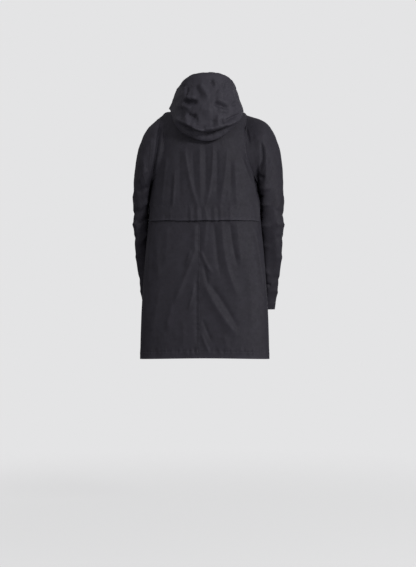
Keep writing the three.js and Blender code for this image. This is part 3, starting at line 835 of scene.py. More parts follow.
@dataclass
class Rows:
    """Rows of a body panel: levels at its side edge, which follow the armhole, and at its middle."""

    side: np.ndarray
    middle: np.ndarray

    @classmethod
    def between(cls, low: float, high: float) -> "Rows":
        """Rows about a point's spacing apart; part of an armhole isn't asked for.

        Args:
            low: the lowest level.
            high: the highest level.

        Returns:
            The rows.
        """
        side, middle = [], []
        for start, end, length in STRETCHES:
            if low <= start and end <= high:
                last = end == BODY.back_top == high
                levels = np.linspace(start, end, round(length / SPACING), endpoint=last)
                side.append(levels)
                middle.append(levels)
            if end == BODY.under and high > end:
                phi = np.linspace(math.pi, 0, round(ARMHOLE_LENGTH / SPACING), endpoint=False)
                side.append(BODY.armhole(phi)[1])
                middle.append(mix(BODY.under, BODY.shoulder, 1 - phi / math.pi))
        side.append(np.array([high] if side[-1][-1] < high else []))
        middle.append(side[-1])
        return cls(np.concatenate(side), np.concatenate(middle))

    def side_turn(self, behind: bool) -> np.ndarray:
        """Turn of a left panel's side edge: side seam, armhole's edge or shoulder seam.

        Args:
            behind: whether the panel is part of the back.

        Returns:
            The turn at each row.
        """
        seam = BODY.side_seam * (1 - ease(self.side, BODY.flap, BODY.under))
        share = np.clip((self.side - BODY.under) / (BODY.shoulder - BODY.under), 0, 1)
        phi = np.arccos(np.clip(2 * share - 1, -1, 1))
        hole = BODY.armhole(phi if behind else -phi)[0]
        above = self.side >= BODY.shoulder
        return np.where(self.side <= BODY.under, seam, np.where(above, 0, hole))

    def places(self, share: np.ndarray, left: bool, behind: bool) -> tuple[np.ndarray, np.ndarray]:
        """A panel's grid, at shares of the way from its side edge to its middle.

        Args:
            share: shares from 0 to 1, one for each column.
            left: whether it is on the coat's left.
            behind: whether it is part of the back.

        Returns:
            Its turns and levels.
        """
        side = self.side_turn(behind)[:, None]
        front = -math.pi / 2 if left else 1.5 * math.pi
        turn = mix(side if left else math.pi - side, BODY.back_seam if behind else front, share)
        return turn, mix(self.side[:, None], self.middle[:, None], ease(share, 0, 1))


@dataclass
class Panels:
    """The trunk's five panels: an upper back with a free flap, two lower backs and two fronts."""

    flap_hem: float = 12.0
    flap_band: float = 58.0
    flap_stand_off: float = 8.0
    flap_half: float = 0.9  # cosine of the turn at which it lies on the skirt again
    flap_wave: tuple[float, float] = (0.25, 5.0)  # share of the stand-off, and how many a radian
    flap_wander: tuple[float, float] = (0.01, 9.0)  # its free edge strays by levels, and how often
    hem: float = 25.0
    seam_row: float = 6.0
    width: float = 330.0  # about that of a half panel at its widest

    def half(self, rows: Rows, left: bool, behind: bool) -> tuple[np.ndarray, np.ndarray]:
        """A half panel's grid, with the turn growing from column to column.

        Args:
            rows: its rows.
            left: whether it is on the coat's left.
            behind: whether it is part of the back.

        Returns:
            Its turns and levels.
        """
        share = np.linspace(0, 1, round(self.width / SPACING))
        return rows.places(share if left == behind else share[::-1], left, behind)

    def cloth(
        self, name: str, turn: np.ndarray, level: np.ndarray, lift: Numbers = 0.0, **cut: object
    ) -> Cloth:
        """A panel's cloth.

        Args:
            name: the panel's node.
            turn: its grid's turns.
            level: its grid's levels.
            lift: millimetres off the body, where it lies on another panel or stands free.
            **cut: the cloth's flat size, area, hems and seed.

        Returns:
            The cloth.
        """
        points = BODY.form(turn, level) + BODY.normal(turn, level) * (lift + np.zeros(turn.shape))[..., None]
        coarse, fine = BODY.relief(turn, level)
        return Cloth(name, points, coarse=coarse, fine=fine, **cut)

    def upper_back(self) -> Cloth:
        """The upper back: both halves in one, with the flap lifted off the skirt.

        The flap's stand-off goes by 1 - (cos(turn) / flap_half)^2, so that it is most in the middle.

        Returns:
            The cloth.
        """
        rows = Rows.between(BODY.flap, BODY.neck)
        left, right = self.half(rows, True, True), self.half(rows, False, True)
        turn, level = (np.concatenate([a, b[:, 1:]], 1) for a, b in zip(left, right))
        on_skirt = LAP * (1 - ease(level, BODY.back_top, BODY.under))
        middle = np.maximum(1 - (np.cos(turn) / self.flap_half) ** 2, 0)
        high, often = self.flap_wave
        wave = 1 + high * value_noise(turn * often, level * 0, 23)
        free = self.flap_stand_off * wave * middle * (1 - ease(level, BODY.flap, BODY.back_top))
        stray, often = self.flap_wander
        at_hem = 1 - ease(level, BODY.flap, BODY.flap + 0.2)
        level = level + stray * value_noise(turn * often, level * 0, 29) * at_hem
        hems = (
            Hem(Edge.BOTTOM, self.flap_hem, 0.5),
            Hem(Edge.BOTTOM, self.flap_band, 0.5, free=False),
            Hem(Edge.LEFT, self.seam_row, 0.6, free=False),
            Hem(Edge.RIGHT, self.seam_row, 0.6, free=False),
        )
        cut = {"flat": (0.64, 0.52), "area": 0.24, "hems": hems, "seed": 31}
        return self.cloth("upper_back", turn, level, on_skirt + free, **cut)

    def lower_back(self, left: bool) -> Cloth:
        """One side of the back's skirt, from its hem to under the flap.

        Args:
            left: whether it is on the coat's left.

        Returns:
            The cloth.
        """
        turn, level = self.half(Rows.between(BODY.hem, BODY.back_top), left, True)
        hems = (Hem(Edge.BOTTOM, self.hem, 0.9, 1.9),)
        if left:
            hems += (Hem(Edge.RIGHT, self.seam_row, 0.4, 0.8, free=False),)
        cut = {"flat": (0.32, 0.61), "area": 0.175, "hems": hems, "seed": 41 + left}
        return self.cloth("lower_back_" + side_name(left), turn, level, **cut)

    def front(self, left: bool) -> Cloth:
        """One front, from the hem to the neck and round to the side seam.

        Args:
            left: whether it is on the coat's left.

        Returns:
            The cloth.
        """
        turn, level = self.half(Rows.between(BODY.hem, BODY.neck), left, False)
        hems = (Hem(Edge.BOTTOM, self.hem, 0.7, 1.1),)
        cut = {"flat": (0.42, 0.98), "area": 0.33, "hems": hems, "seed": 51 + left}
        return self.cloth("front_" + side_name(left), turn, level, **cut)

    def build(self) -> list[Cloth]:
        """All five panels."""
        halves = [make(left) for make in (self.lower_back, self.front) for left in (True, False)]
        return [self.upper_back(), *halves]


def seam_start(edge: np.ndarray, outward: np.ndarray, normal: np.ndarray, after: np.ndarray) -> np.ndarray:
    """Where a sewn-on piece begins: beside an edge that it carries on, or on the face it folds over.

    Args:
        edge: points of the body's edge.
        outward: unit ways across the edge, along the cloth.
        normal: the body's unit normals there.
        after: the piece's next points.

    Returns:
        The piece's first points, moved by the angle that it leaves the edge at.
    """
    ahead = after - edge
    rise = np.maximum((ahead * normal).sum(-1), 0)
    angle = np.arctan2(rise, (ahead * outward).sum(-1))[..., None]
    beside = THICK / 2 * np.sin(angle) - SEAM_LAP
    return edge + outward * beside + normal * APPLIED / 2 * (1 - np.cos(angle))


@dataclass
class Sleeve:
    """A set-in sleeve, as a tube from the armhole to the cuff that rests against the body."""

    left: bool
    spread: float = 14.0  # the right sleeve hangs this much further out than its table, the left in
    clear: float = -0.4  # added to a lap's distance: it rests a little closer than laid cloth
    cuff: float = 30.0
    around: float = 470.0
    length: float = 780.0
    radius: float = 75.0  # about, to turn an angle into millimetres
    ring_apart: float = 85.0  # about, from one ring to the next
    # usual size of a hollow across and along, and its height, for broad crumples and small ones
    broad: tuple[tuple[float, float], float] = ((46.0, 30.0), 0.9)
    small: tuple[tuple[float, float], float] = ((20.0, 26.0), 0.5)
    # degrees round the body where the inner side rests, its height, outer side's x and height, half
    # the depth from front to back, and how much further forward (degrees) and in the left one hangs
    rings: tuple = (
        (0, -307, 210, -46, 80, 0, 8),
        (-3, -322, 247, -84, 79, 0, 8),
        (-7, -350, 272, -152, 78, 0, 7),
        (-12, -392, 283, -256, 77, 1, 5),
        (-16, -440, 285, -360, 75, 2, 5),
        (-20, -500, 282, -465, 73, 3, 9),
        (-28, -600, 270, -590, 65, 4, 14),
        (-36, -692, 257, -688, 58, 4, 16),
        (-42, -772, 245, -772, 53, 4, 14),  # cuff
    )

    def ring(self, row: tuple, phi: np.ndarray) -> np.ndarray:
        """One ring: an oval from its inner to its outer side, as deep as its row says.

        Args:
            row: a row of the table.
            phi: angles round the sleeve, 0 on its outer side.

        Returns:
            The ring's points, as for the left sleeve.
        """
        rest, inner_z, outer_x, outer_z, half_depth, left_turn, left_in = row
        turn = np.array(math.radians(rest - (left_turn if self.left else 0)))
        level = np.array(BODY.level_at(inner_z))
        away = unit(BODY.normal(turn, level) * (1, 1, 0))
        inner = BODY.form(turn, level) + away * (LAP + self.clear)
        inner[2] = inner_z
        reach = outer_x + (-self.spread - left_in if self.left else self.spread)
        outer = inner + away * (reach - inner[0]) / away[0]
        outer[2] = outer_z
        backward = np.array([-away[1], away[0], 0])
        share = ((1 + np.cos(phi)) / 2)[:, None]
        return mix(inner, outer, share) + backward * half_depth * np.sin(phi)[:, None]

    def armhole_edge(self, phi: np.ndarray) -> tuple[np.ndarray, np.ndarray, np.ndarray]:
        """The armhole's edge on the body.

        Args:
            phi: angles round it, 0 at the shoulder and pi under the arm.

        Returns:
            Its points, the unit ways across the hole, and the body's unit normals.
        """
        turn, level = BODY.armhole(phi)
        normal = BODY.normal(turn, level)
        point = BODY.form(turn, level)
        round_it = BODY.form(*BODY.armhole(phi + STEP)) - BODY.form(*BODY.armhole(phi - STEP))
        outward = unit(np.cross(normal, round_it))
        hole = BODY.form(np.array(0.0), np.array((BODY.under + BODY.shoulder) / 2)) - point
        outward *= np.sign((outward * hole).sum(-1, keepdims=True))
        return point, outward, normal

    def cloth(self) -> Cloth:
        """The sleeve's cloth, mirrored for the coat's right: a curve through its rings at each angle.

        Returns:
            The cloth, a tube.
        """
        phi = -np.linspace(0, 2 * math.pi, round(self.around / SPACING), endpoint=False)
        rings = [self.ring(row, phi) for row in self.rings]
        point, outward, normal = self.armhole_edge(phi)
        lines = np.stack([seam_start(point, outward, normal, rings[0]), *rings])
        at = np.linspace(0, len(self.rings), round(self.length / SPACING))
        form = curve_through(lines, at)
        side = 1.0 if self.left else -1.0
        form = form * (side, 1, 1)
        hems = (Hem(Edge.TOP, self.cuff, 0.7, 1.0),)
        cut = {"flat": (0.56, 0.80), "area": 0.31, "hems": hems, "seed": 61}
        piece = Cloth("sleeve_" + side_name(self.left), form, tube=True, facing=side, **cut)
        normals = piece.normals
        coarse = fold_relief(form, normals, View.BACK, BACK_FOLDS)
        coarse += fold_relief(form, normals, View.FRONT, FRONT_FOLDS)
        coarse += fold_relief(form, normals, View.LEFT if self.left else View.RIGHT, SLEEVE_SIDE_FOLDS)
        loose = ease(at, 0, 0.8)[:, None] * (1 - ease(np.cos(phi), -0.2, -0.9))
        u, v = np.broadcast_arrays(phi * self.radius, at[:, None] * self.ring_apart)
        seed = 70 if self.left else 80
        (cell, high), (small_cell, small_high) = self.broad, self.small
        piece.coarse = coarse * ease(at, 0, 0.1)[:, None]
        piece.fine = loose * (
            high * crumple(u, v, cell, seed) + small_high * crumple(u, v, small_cell, seed + 3)
        )
        return piece


@dataclass
class Hood:
    """The lowered hood: from the neck seam out over the shoulders, round the pouch and up to the rim."""

    centre_half: float = 58.0
    neck_half: float = 84.0  # half the width of the neck seam
    lean: float = 12.0  # how far it hangs to the coat's right
    length: float = 480.0
    centre_width: float = 130.0
    side_width: float = 300.0
    rim_hem: float = 22.0
    seam_row: float = 5.0
    crease: float = 1.6  # how much deeper its doubled cloth folds than the table says
    radius: float = 130.0  # about, to turn an angle into millimetres
    ring_apart: float = 38.0  # about, from one ring to the next
    # usual size of a hollow across and along, and its height, for broad crumples and small ones
    broad: tuple[tuple[float, float], float] = ((34.0, 26.0), 1.6)
    small: tuple[tuple[float, float], float] = ((15.0, 17.0), 0.7)
    # y and z behind, x and z at the side, y and z in front, how square it is behind, and how soon
    # round from the side it falls to the back's height, on the coat's left and right
    rings: tuple = (
        (99, -15, 100, 12, -86, -33, 2.5, 1.7, 1.7),
        (123, -62, 118, 10, -90, -25, 2.8, 1.8, 1.7),
        (143, -108, 131, 10, -93, -18, 3, 1.9, 1.9),
        (159, -134, 138, 7, -95, -10, 3.1, 2.5, 2.1),  # bottom of the pouch
        (182, -119, 139, 6, -97, -2, 3, 3.9, 2.2),
        (200, -89, 136, 14, -98, 6, 2.8, 4.2, 2.2),
        (201, -24, 129, 28, -98, 15, 2.6, 3.2, 2.2),
        (191, 36, 122, 47, -97, 25, 2.5, 2, 2),
        (174, 84, 115, 67, -95, 34, 2.4, 2.2, 2.2),
        (154, 122, 106, 84, -92, 43, 2.4, 2.8, 2.8),  # top of the fold
        (130, 108, 94, 76, -86, 40, 2.3, 2.4, 2.4),  # rim, turned in
    )

    def ring(self, row: tuple, turn: np.ndarray) -> np.ndarray:
        """One ring: a squared ellipse whose height goes from side to back by 1 - |cos(turn)|^fall.

        Args:
            row: a row of the table.
            turn: angles round the hood.

        Returns:
            The ring's points.
        """
        back_y, back_z, side_x, side_z, front_y, front_z, square, fall_left, fall_right = row
        behind = np.sin(turn) > 0
        across, deep = squared_turn(turn, np.where(behind, square, 2.0))
        rise = np.where(behind, back_z, front_z) - side_z
        fall = np.where(behind, np.where(across > 0, fall_left, fall_right), 2.0)
        z = side_z + rise * (1 - np.abs(np.cos(turn)) ** fall)
        return np.stack([side_x * across, np.where(behind, back_y, -front_y) * deep, z], -1)

    def form(self, turn: np.ndarray, at: np.ndarray) -> np.ndarray:
        """The mid-surface: a curve through the neck seam and the rings at each turn.

        Args:
            turn: angles round the hood, one row for each ring number.
            at: ring numbers, 0 at the neck seam, which may lie between rings.

        Returns:
            The points.
        """
        edge = BODY.form(turn, np.array(BODY.neck))
        below = BODY.form(turn, np.array(BODY.neck - STEP))
        normal = BODY.normal(turn, np.array(BODY.neck))
        rings = [self.ring(row, turn) for row in self.rings]
        for number, ring in enumerate(rings):
            ring[..., 0] -= self.lean * ease(np.sin(turn), -0.2, 0.5) * ease(number, -1, 4)
        lines = np.stack([seam_start(edge, unit(edge - below), normal, rings[0]), *rings])
        columns = np.arange(turn.shape[1])
        rows = np.arange(len(at))
        every = curve_through(lines, at)
        return every[rows[:, None], rows[:, None], columns[None]]

    def seam_turn(self, at: np.ndarray) -> np.ndarray:
        """Turn of the seam beside the middle panel, which keeps its width."""
        side = np.interp(at, range(len(self.rings) + 1), [self.neck_half, *(row[2] for row in self.rings)])
        return np.arccos(np.minimum(self.centre_half / side, 0.8))

    def cloth(
        self, name: str, start: np.ndarray, end: np.ndarray, width: float, **cut: object
    ) -> Cloth:
        """A panel between two turns at each row.

        Args:
            name: the panel's node.
            start: the turn of its first column, for each row.
            end: the turn of its last column.
            width: millimetres across it at its widest, about.
            **cut: the cloth's flat size, area, hems and seed.

        Returns:
            The cloth.
        """
        at = np.linspace(0, len(self.rings), len(start))
        share = np.linspace(0, 1, round(width / SPACING))[None]
        turn = mix(start[:, None], end[:, None], share)
        form = self.form(turn, at)
        piece = Cloth(name, form, **cut)
        normals = piece.normals
        u, v = np.broadcast_arrays(turn * self.radius, at[:, None] * self.ring_apart)
        loose = ease(at, 0.4, 3)[:, None] * (0.35 + 0.65 * ease(np.sin(turn), -0.5, 0.3))
        folds = fold_relief(form, normals, View.BACK, HOOD_FOLDS)
        (cell, high), (small_cell, small_high) = self.broad, self.small
        piece.coarse = self.crease * folds * ease(at, 3, 5)[:, None]
        piece.fine = loose * (high * crumple(u, v, cell, 90) + small_high * crumple(u, v, small_cell, 97))
        return piece

    def build(self) -> list[Cloth]:
        """Lay out the middle panel and the two side panels.

        Returns:
            Their cloths.
        """
        at = np.linspace(0, len(self.rings), round(self.length / SPACING))
        seam = self.seam_turn(at)
        front = np.full_like(at, -math.pi / 2)
        rim = Hem(Edge.TOP, self.rim_hem, 0.7, 1.0)
        seams = tuple(Hem(edge, self.seam_row, 0.2, 0.4, free=False) for edge in (Edge.LEFT, Edge.RIGHT))
        middle = {"flat": (0.13, 0.48), "area": 0.06, "hems": (rim, *seams)}
        side = {"flat": (0.30, 0.44), "area": 0.088, "hems": (rim,)}
        return [
            self.cloth("hood_centre", seam, math.pi - seam, self.centre_width, seed=91, **middle),
            self.cloth("hood_left", front, seam, self.side_width, seed=92, **side),
            self.cloth("hood_right", math.pi - seam, front + 2 * math.pi, self.side_width, seed=93, **side),
        ]


@dataclass
class Trims:
    """What lies on the fronts: the strip over the closure, and the welts of the slanted pockets."""

    placket_half: float = 32.0
    placket_row: float = 6.0
    placket_foot: float = 0.02  # the level that it starts at, just above the hem
    placket_on_body: float = 910.0  # millimetres of it below the neck seam
    placket_on_hood: float = 100.0
    welt_top: tuple[float, float] = (104.0, -560.0)  # x and height of its middle line's ends
    welt_bottom: tuple[float, float] = (138.0, -712.0)
    welt_length: float = 156.0
    welt_width: float = 26.0
    welt_columns: int = 9
    welt_row: float = 3.5
    search: float = 1.0  # radians to either side of the front's middle that hold both
    flatter: float = 0.5  # share of the body's crumple that cloth lying on it shows
    hood: Hood = field(default_factory=Hood)

    def turn_at(self, form: Callable[[np.ndarray], np.ndarray], x: np.ndarray) -> np.ndarray:
        """The turn at which the front of a form reaches x, by halving.

        Args:
            form: gives the form's points at turns.
            x: distances from the middle, towards the coat's left.

        Returns:
            The turn of each.
        """
        low = np.full(x.shape, -math.pi / 2 - self.search)
        high = np.full(x.shape, -math.pi / 2 + self.search)
        for _ in range(HALVINGS):
            middle = (low + high) / 2
            short = form(middle)[..., 0] < x
            low, high = np.where(short, middle, low), np.where(short, high, middle)
        return low

    def strip(self, level: np.ndarray, x: np.ndarray) -> tuple[np.ndarray, np.ndarray, np.ndarray]:
        """A strip of cloth lying on the body's front.

        Args:
            level: ring numbers.
            x: distances from the middle, a row for each level.

        Returns:
            Its points, with the body's folds and crumples there.
        """
        level = np.broadcast_to(level, x.shape)
        turn = self.turn_at(lambda t: BODY.form(t, level), x)
        coarse, fine = BODY.relief(turn, level)
        return BODY.form(turn, level) + BODY.normal(turn, level) * APPLIED, coarse, fine

    def placket(self) -> Cloth:
        """The covering strip, from the hem to the top of the collar, lying on body and hood.

        Returns:
            The cloth.
        """
        x = np.linspace(-self.placket_half, self.placket_half, round(2 * self.placket_half / SPACING))
        rows = round(self.placket_on_body / SPACING)
        level = np.linspace(self.placket_foot, BODY.neck, rows, endpoint=False)[:, None]
        body, coarse, fine = self.strip(level, np.broadcast_to(x, (len(level), len(x))))
        at = np.linspace(0.5, len(self.hood.rings), round(self.placket_on_hood / SPACING))
        wide = np.broadcast_to(x, (len(at), len(x)))
        turn = self.turn_at(lambda t: self.hood.form(t, at), wide)
        # only its normals are needed, so its cut is of no account
        neck = Cloth("", self.hood.form(turn, at), flat=(1, 1), area=1)
        form = np.concatenate([body, neck.form + neck.normals * APPLIED])
        hems = (Hem(Edge.LEFT, self.placket_row, 0.4), Hem(Edge.RIGHT, self.placket_row, 0.4))
        rest = np.zeros(wide.shape)
        return Cloth(
            "placket",
            form,
            flat=(0.064, 1.03),
            area=0.065,
            hems=hems,
            coarse=np.concatenate([coarse, rest]),
            fine=np.concatenate([fine * self.flatter, rest]),
            seed=101,
        )

    def welt(self, left: bool) -> Cloth:
        """A pocket's welt, along its slanting mouth.

        Args:
            left: whether it is on the coat's left.

        Returns:
            The cloth.
        """
        share = np.linspace(0, 1, round(self.welt_length / SPACING))
        level = np.array([BODY.level_at(mix(self.welt_bottom[1], self.welt_top[1], s)) for s in share])
        middle = mix(self.welt_bottom[0], self.welt_top[0], share)[:, None]
        side = 1 if left else -1
        x = side * middle + np.linspace(-0.5, 0.5, self.welt_columns) * self.welt_width
        form, coarse, fine = self.strip(level[:, None], x)
        hems = tuple(Hem(edge, self.welt_row, 0.2, 0.3) for edge in Edge)
        cut = {"flat": (0.026, 0.156), "area": 0.004, "hems": hems, "seed": 111}
        name = "pocket_welt_" + side_name(left)
        return Cloth(name, form, coarse=coarse, fine=fine * self.flatter, **cut)

    def build(self) -> list[Cloth]:
        """The placket and both welts."""
        return [self.placket(), self.welt(True), self.welt(False)]


# Sewing


@dataclass(frozen=True)
class Stitches:
    """Rows of lockstitch: each stitch is a short arched thread whose ends sink into the cloth."""

    pitch: float = 4.0
    length: float = 3.0
    radius: float = 0.42  # real thread is about half as thick, too thin to show
    lift: float = 0.15
    sides: int = 5
    stations: tuple[float, ...] = (-0.5, -0.3, 0.3, 0.5)  # of its rings, in lengths
    thickness: tuple[float, ...] = (0.35, 1.0, 1.0, 0.35)  # at each, in radii

    def template(self) -> tuple[np.ndarray, np.ndarray]:
        """One stitch along x with z up: rings that narrow and sink by a parabola towards its ends.

        Returns:
            Its points, and its quads as point numbers.
        """
        stations = np.array(self.stations)
        thick = np.array(self.thickness)
        angle = np.arange(self.sides) * 2 * math.pi / self.sides
        x = np.repeat(stations * self.length, self.sides)
        across = np.outer(thick, np.cos(angle)).ravel() * self.radius
        up = np.outer(thick, np.sin(angle)).ravel() * self.radius
        arch = np.repeat(self.lift - (2 * stations) ** 2 * self.radius, self.sides)
        rings = len(stations)
        k = np.arange(self.sides)
        after = (k + 1) % self.sides
        starts = np.arange(rings - 1)[:, None] * self.sides
        corners = [starts + k, starts + self.sides + k, starts + self.sides + after, starts + after]
        quads = np.stack(corners, -1).reshape(-1, 4)
        return np.stack([x, across, up + arch], -1), quads[:, ::-1]

    def build(self, cloth: Cloth) -> bpy.types.Object:
        """Sew all the rows of one piece of cloth, as one mesh.

        Args:
            cloth: the piece, once it is built; it has a hem or more.

        Returns:
            The object, which rides on the root.
        """
        shape, quads = self.template()
        points, faces, count = [], [], 0
        for hem in cloth.hems:
            line, way, normal = cloth.line(hem)
            run = np.concatenate([[0], np.cumsum(np.linalg.norm(np.diff(line, axis=0), axis=1))])
            at = np.arange(self.pitch, run[-1] - self.pitch, self.pitch)

            def read(values: np.ndarray) -> np.ndarray:
                """Values along the row, at each stitch."""
                return np.stack([np.interp(at, run, values[:, k]) for k in range(3)], -1)

            middle, ahead, up = read(line), unit(read(way)), unit(read(normal))
            beside = unit(np.cross(up, ahead))
            axes = np.stack([ahead, beside, np.cross(ahead, beside)], 1)
            made = middle[:, None] + shape @ axes
            points.append(made.reshape(-1, 3))
            first = count + np.arange(len(at)) * len(shape)
            faces.append((first[:, None, None] + quads).reshape(-1, 4))
            count += len(at) * len(shape)
        piece = mesh_object("stitches_" + cloth.name, np.concatenate(points), np.concatenate(faces))
        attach(piece, "root")
        return piece


# Finishes

# A Mix node's sockets when it mixes colours
MIX_A, MIX_B, MIXED = 6, 7, 2


def colour(code: str) -> tuple[float, float, float, float]:
    """Turn an sRGB hex value to linear: c / 12.92 up to 0.04045, then ((c + 0.055) / 1.055)^2.4.

    Args:
        code: the value, such as #2a282f.

    Returns:
        Red, green and blue, and 1 for opaque.
    """
    parts = [int(code[k : k + 2], 16) / 255 for k in (1, 3, 5)]
    linear = [c / 12.92 if c <= 0.04045 else ((c + 0.055) / 1.055) ** 2.4 for c in parts]
    return (*linear, 1.0)


def empty_tree(owner: bpy.types.Material | bpy.types.World) -> bpy.types.NodeTree:
    """Give a material or a world a node tree with nothing in it.

    Args:
        owner: the material or world.

    Returns:
        The tree.
    """
    owner.use_nodes = True
    owner.node_tree.nodes.clear()
    return owner.node_tree


def add_node(
    tree: bpy.types.NodeTree, kind: str, settings: dict | None = None, inputs: dict | None = None
) -> bpy.types.Node:
    """Add a node to a tree.

    Args:
        tree: the tree.
        kind: the node's type.
        settings: properties by name.
        inputs: values, or outputs to link, by the input's name or number.

    Returns:
        The node.
    """
    node = tree.nodes.new(kind)
    for key, value in (settings or {}).items():
        setattr(node, key, value)
    for key, value in (inputs or {}).items():
        if isinstance(value, bpy.types.NodeSocket):
            tree.links.new(value, node.inputs[key])
        else:
            node.inputs[key].default_value = value
    return node


def band_scale(apart: float, diagonal: bool) -> float:
    """Scale of a wave texture whose bands are some distance apart.

    Its phase grows by 20 a unit of scale along one axis, and by 10 along each of them on the diagonal.

    Args:
        apart: millimetres from one band to the next, square to them.
        diagonal: whether the bands run across both axes.

    Returns:
        The texture's scale, on coordinates in metres.
    """
    rate = 10 * math.sqrt(2) if diagonal else 20
    return 2 * math.pi / (rate * apart * MM)


@dataclass(frozen=True)
class Twill:
    """Polyester and cotton twill, woven close and proofed against rain.

    To the eye it is nearly matte and a little violet, with a soft bloom where it turns away, faint
    mottling where the proofing wore thin, and slightly paler edges where it rubs.
    """

    name: str
    dark: str
    pale: str
    rubbed: str
    roughness: tuple[float, float] = (0.60, 0.74)
    # real ribs and threads are 0.6 and 0.3 mm apart, too fine to show, so both are drawn coarser
    rib_mm: float = 4.0
    thread_mm: float = 2.4
    weave_depth_mm: float = 0.12
    mottle_mm: float = 26.0
    crush_mm: float = 9.0
    crush_depth_mm: float = 0.9
    bloom: str = "#c9c4d6"

    def material(self) -> bpy.types.Material:
        """Make the finish.

        Returns:
            The node material.
        """
        made = bpy.data.materials.new(self.name)
        tree = empty_tree(made)
        place = add_node(tree, "ShaderNodeTexCoord")
        uv, spot = place.outputs["UV"], place.outputs["Object"]
        mottle = add_node(
            tree, "ShaderNodeTexNoise", {"noise_dimensions": "3D"},
            {"Vector": spot, "Scale": 1 / (self.mottle_mm * MM), "Detail": 5.0, "Roughness": 0.6},
        )
        crush = add_node(
            tree, "ShaderNodeTexNoise", {"noise_dimensions": "3D"},
            {
                "Vector": spot, "Scale": 1 / (self.crush_mm * MM),
                "Detail": 3.0, "Roughness": 0.55, "Distortion": 0.8,
            },
        )
        ribs = add_node(
            tree, "ShaderNodeTexWave", {"wave_type": "BANDS", "bands_direction": "DIAGONAL"},
            {
                "Vector": uv, "Scale": band_scale(self.rib_mm, True),
                "Distortion": 0.6, "Detail": 1.0, "Detail Scale": 2.0,
            },
        )
        weft = add_node(
            tree, "ShaderNodeTexWave", {"wave_type": "BANDS", "bands_direction": "Y"},
            {
                "Vector": uv, "Scale": band_scale(self.thread_mm, False),
                "Distortion": 0.4, "Detail": 1.0, "Detail Scale": 2.0,
            },
        )
        weave = add_node(
            tree, "ShaderNodeMath", {"operation": "MULTIPLY"},
            {0: ribs.outputs["Fac"], 1: weft.outputs["Fac"]},
        )
        shade = add_node(
            tree, "ShaderNodeMapRange", {},
            {"Value": mottle.outputs["Fac"], "From Min": 0.3, "From Max": 0.7, "To Min": 0.0, "To Max": 1.0},
        )
        cloth = add_node(
            tree, "ShaderNodeMix", {"data_type": "RGBA"},
            {"Factor": shade.outputs["Result"], MIX_A: colour(self.dark), MIX_B: colour(self.pale)},
        )
        wear = add_node(tree, "ShaderNodeAttribute", {"attribute_name": "wear"})
        rub = add_node(
            tree, "ShaderNodeMath", {"operation": "MULTIPLY"},
            {0: wear.outputs["Fac"], 1: mottle.outputs["Fac"]},
        )
        tinted = add_node(
            tree, "ShaderNodeMix", {"data_type": "RGBA"},
            {"Factor": rub.outputs["Value"], MIX_A: cloth.outputs[MIXED], MIX_B: colour(self.rubbed)},
        )
        rough = add_node(
            tree, "ShaderNodeMapRange", {},
            {
                "Value": crush.outputs["Fac"], "From Min": 0.3, "From Max": 0.7,
                "To Min": self.roughness[0], "To Max": self.roughness[1],
            },
        )
        creased = add_node(
            tree, "ShaderNodeBump", {},
            {"Strength": 0.35, "Distance": self.crush_depth_mm * MM, "Height": crush.outputs["Fac"]},
        )
        woven = add_node(
            tree, "ShaderNodeBump", {},
            {
                "Strength": 0.3, "Distance": self.weave_depth_mm * MM,
                "Height": weave.outputs["Value"], "Normal": creased.outputs["Normal"],
            },
        )
        shader = add_node(
            tree, "ShaderNodeBsdfPrincipled", {},
            {
                "Base Color": tinted.outputs[MIXED], "Roughness": rough.outputs["Result"],
                "Normal": woven.outputs["Normal"], "Specular IOR Level": 0.22,
                "Sheen Weight": 0.03, "Sheen Roughness": 0.45, "Sheen Tint": colour(self.bloom),
            },
        )
        add_node(tree, "ShaderNodeOutputMaterial", {}, {"Surface": shader.outputs["BSDF"]})
        return made


@dataclass(frozen=True)
class Thread:
    """Spun polyester sewing thread: twisted, and a little glossier and paler than the cloth."""

    name: str = "spun_polyester_thread"
    hue: str = "#29282e"
    twist_mm: float = 0.8  # from one ply to the next, coarser than real, as the thread is
    twist_depth_mm: float = 0.1

    def material(self) -> bpy.types.Material:
        """Make the finish.

        Returns:
            The node material.
        """
        made = bpy.data.materials.new(self.name)
        tree = empty_tree(made)
        place = add_node(tree, "ShaderNodeTexCoord")
        ply = add_node(
            tree, "ShaderNodeTexWave", {"wave_type": "BANDS", "bands_direction": "DIAGONAL"},
            {"Vector": place.outputs["Object"], "Scale": band_scale(self.twist_mm, True)},
        )
        turned = add_node(
            tree, "ShaderNodeBump", {},
            {"Strength": 0.4, "Distance": self.twist_depth_mm * MM, "Height": ply.outputs["Fac"]},
        )
        shader = add_node(
            tree, "ShaderNodeBsdfPrincipled", {},
            {
                "Base Color": colour(self.hue), "Roughness": 0.5, "Specular IOR Level": 0.35,
                "Normal": turned.outputs["Normal"],
            },
        )
        add_node(tree, "ShaderNodeOutputMaterial", {}, {"Surface": shader.outputs["BSDF"]})
        return made


# The studio


@dataclass(frozen=True)
class Softbox:
    """A square light that faces the middle of the coat, in metres."""

    name: str
    place: tuple[float, float, float]
    size: float
    share: float  # of the key light's power


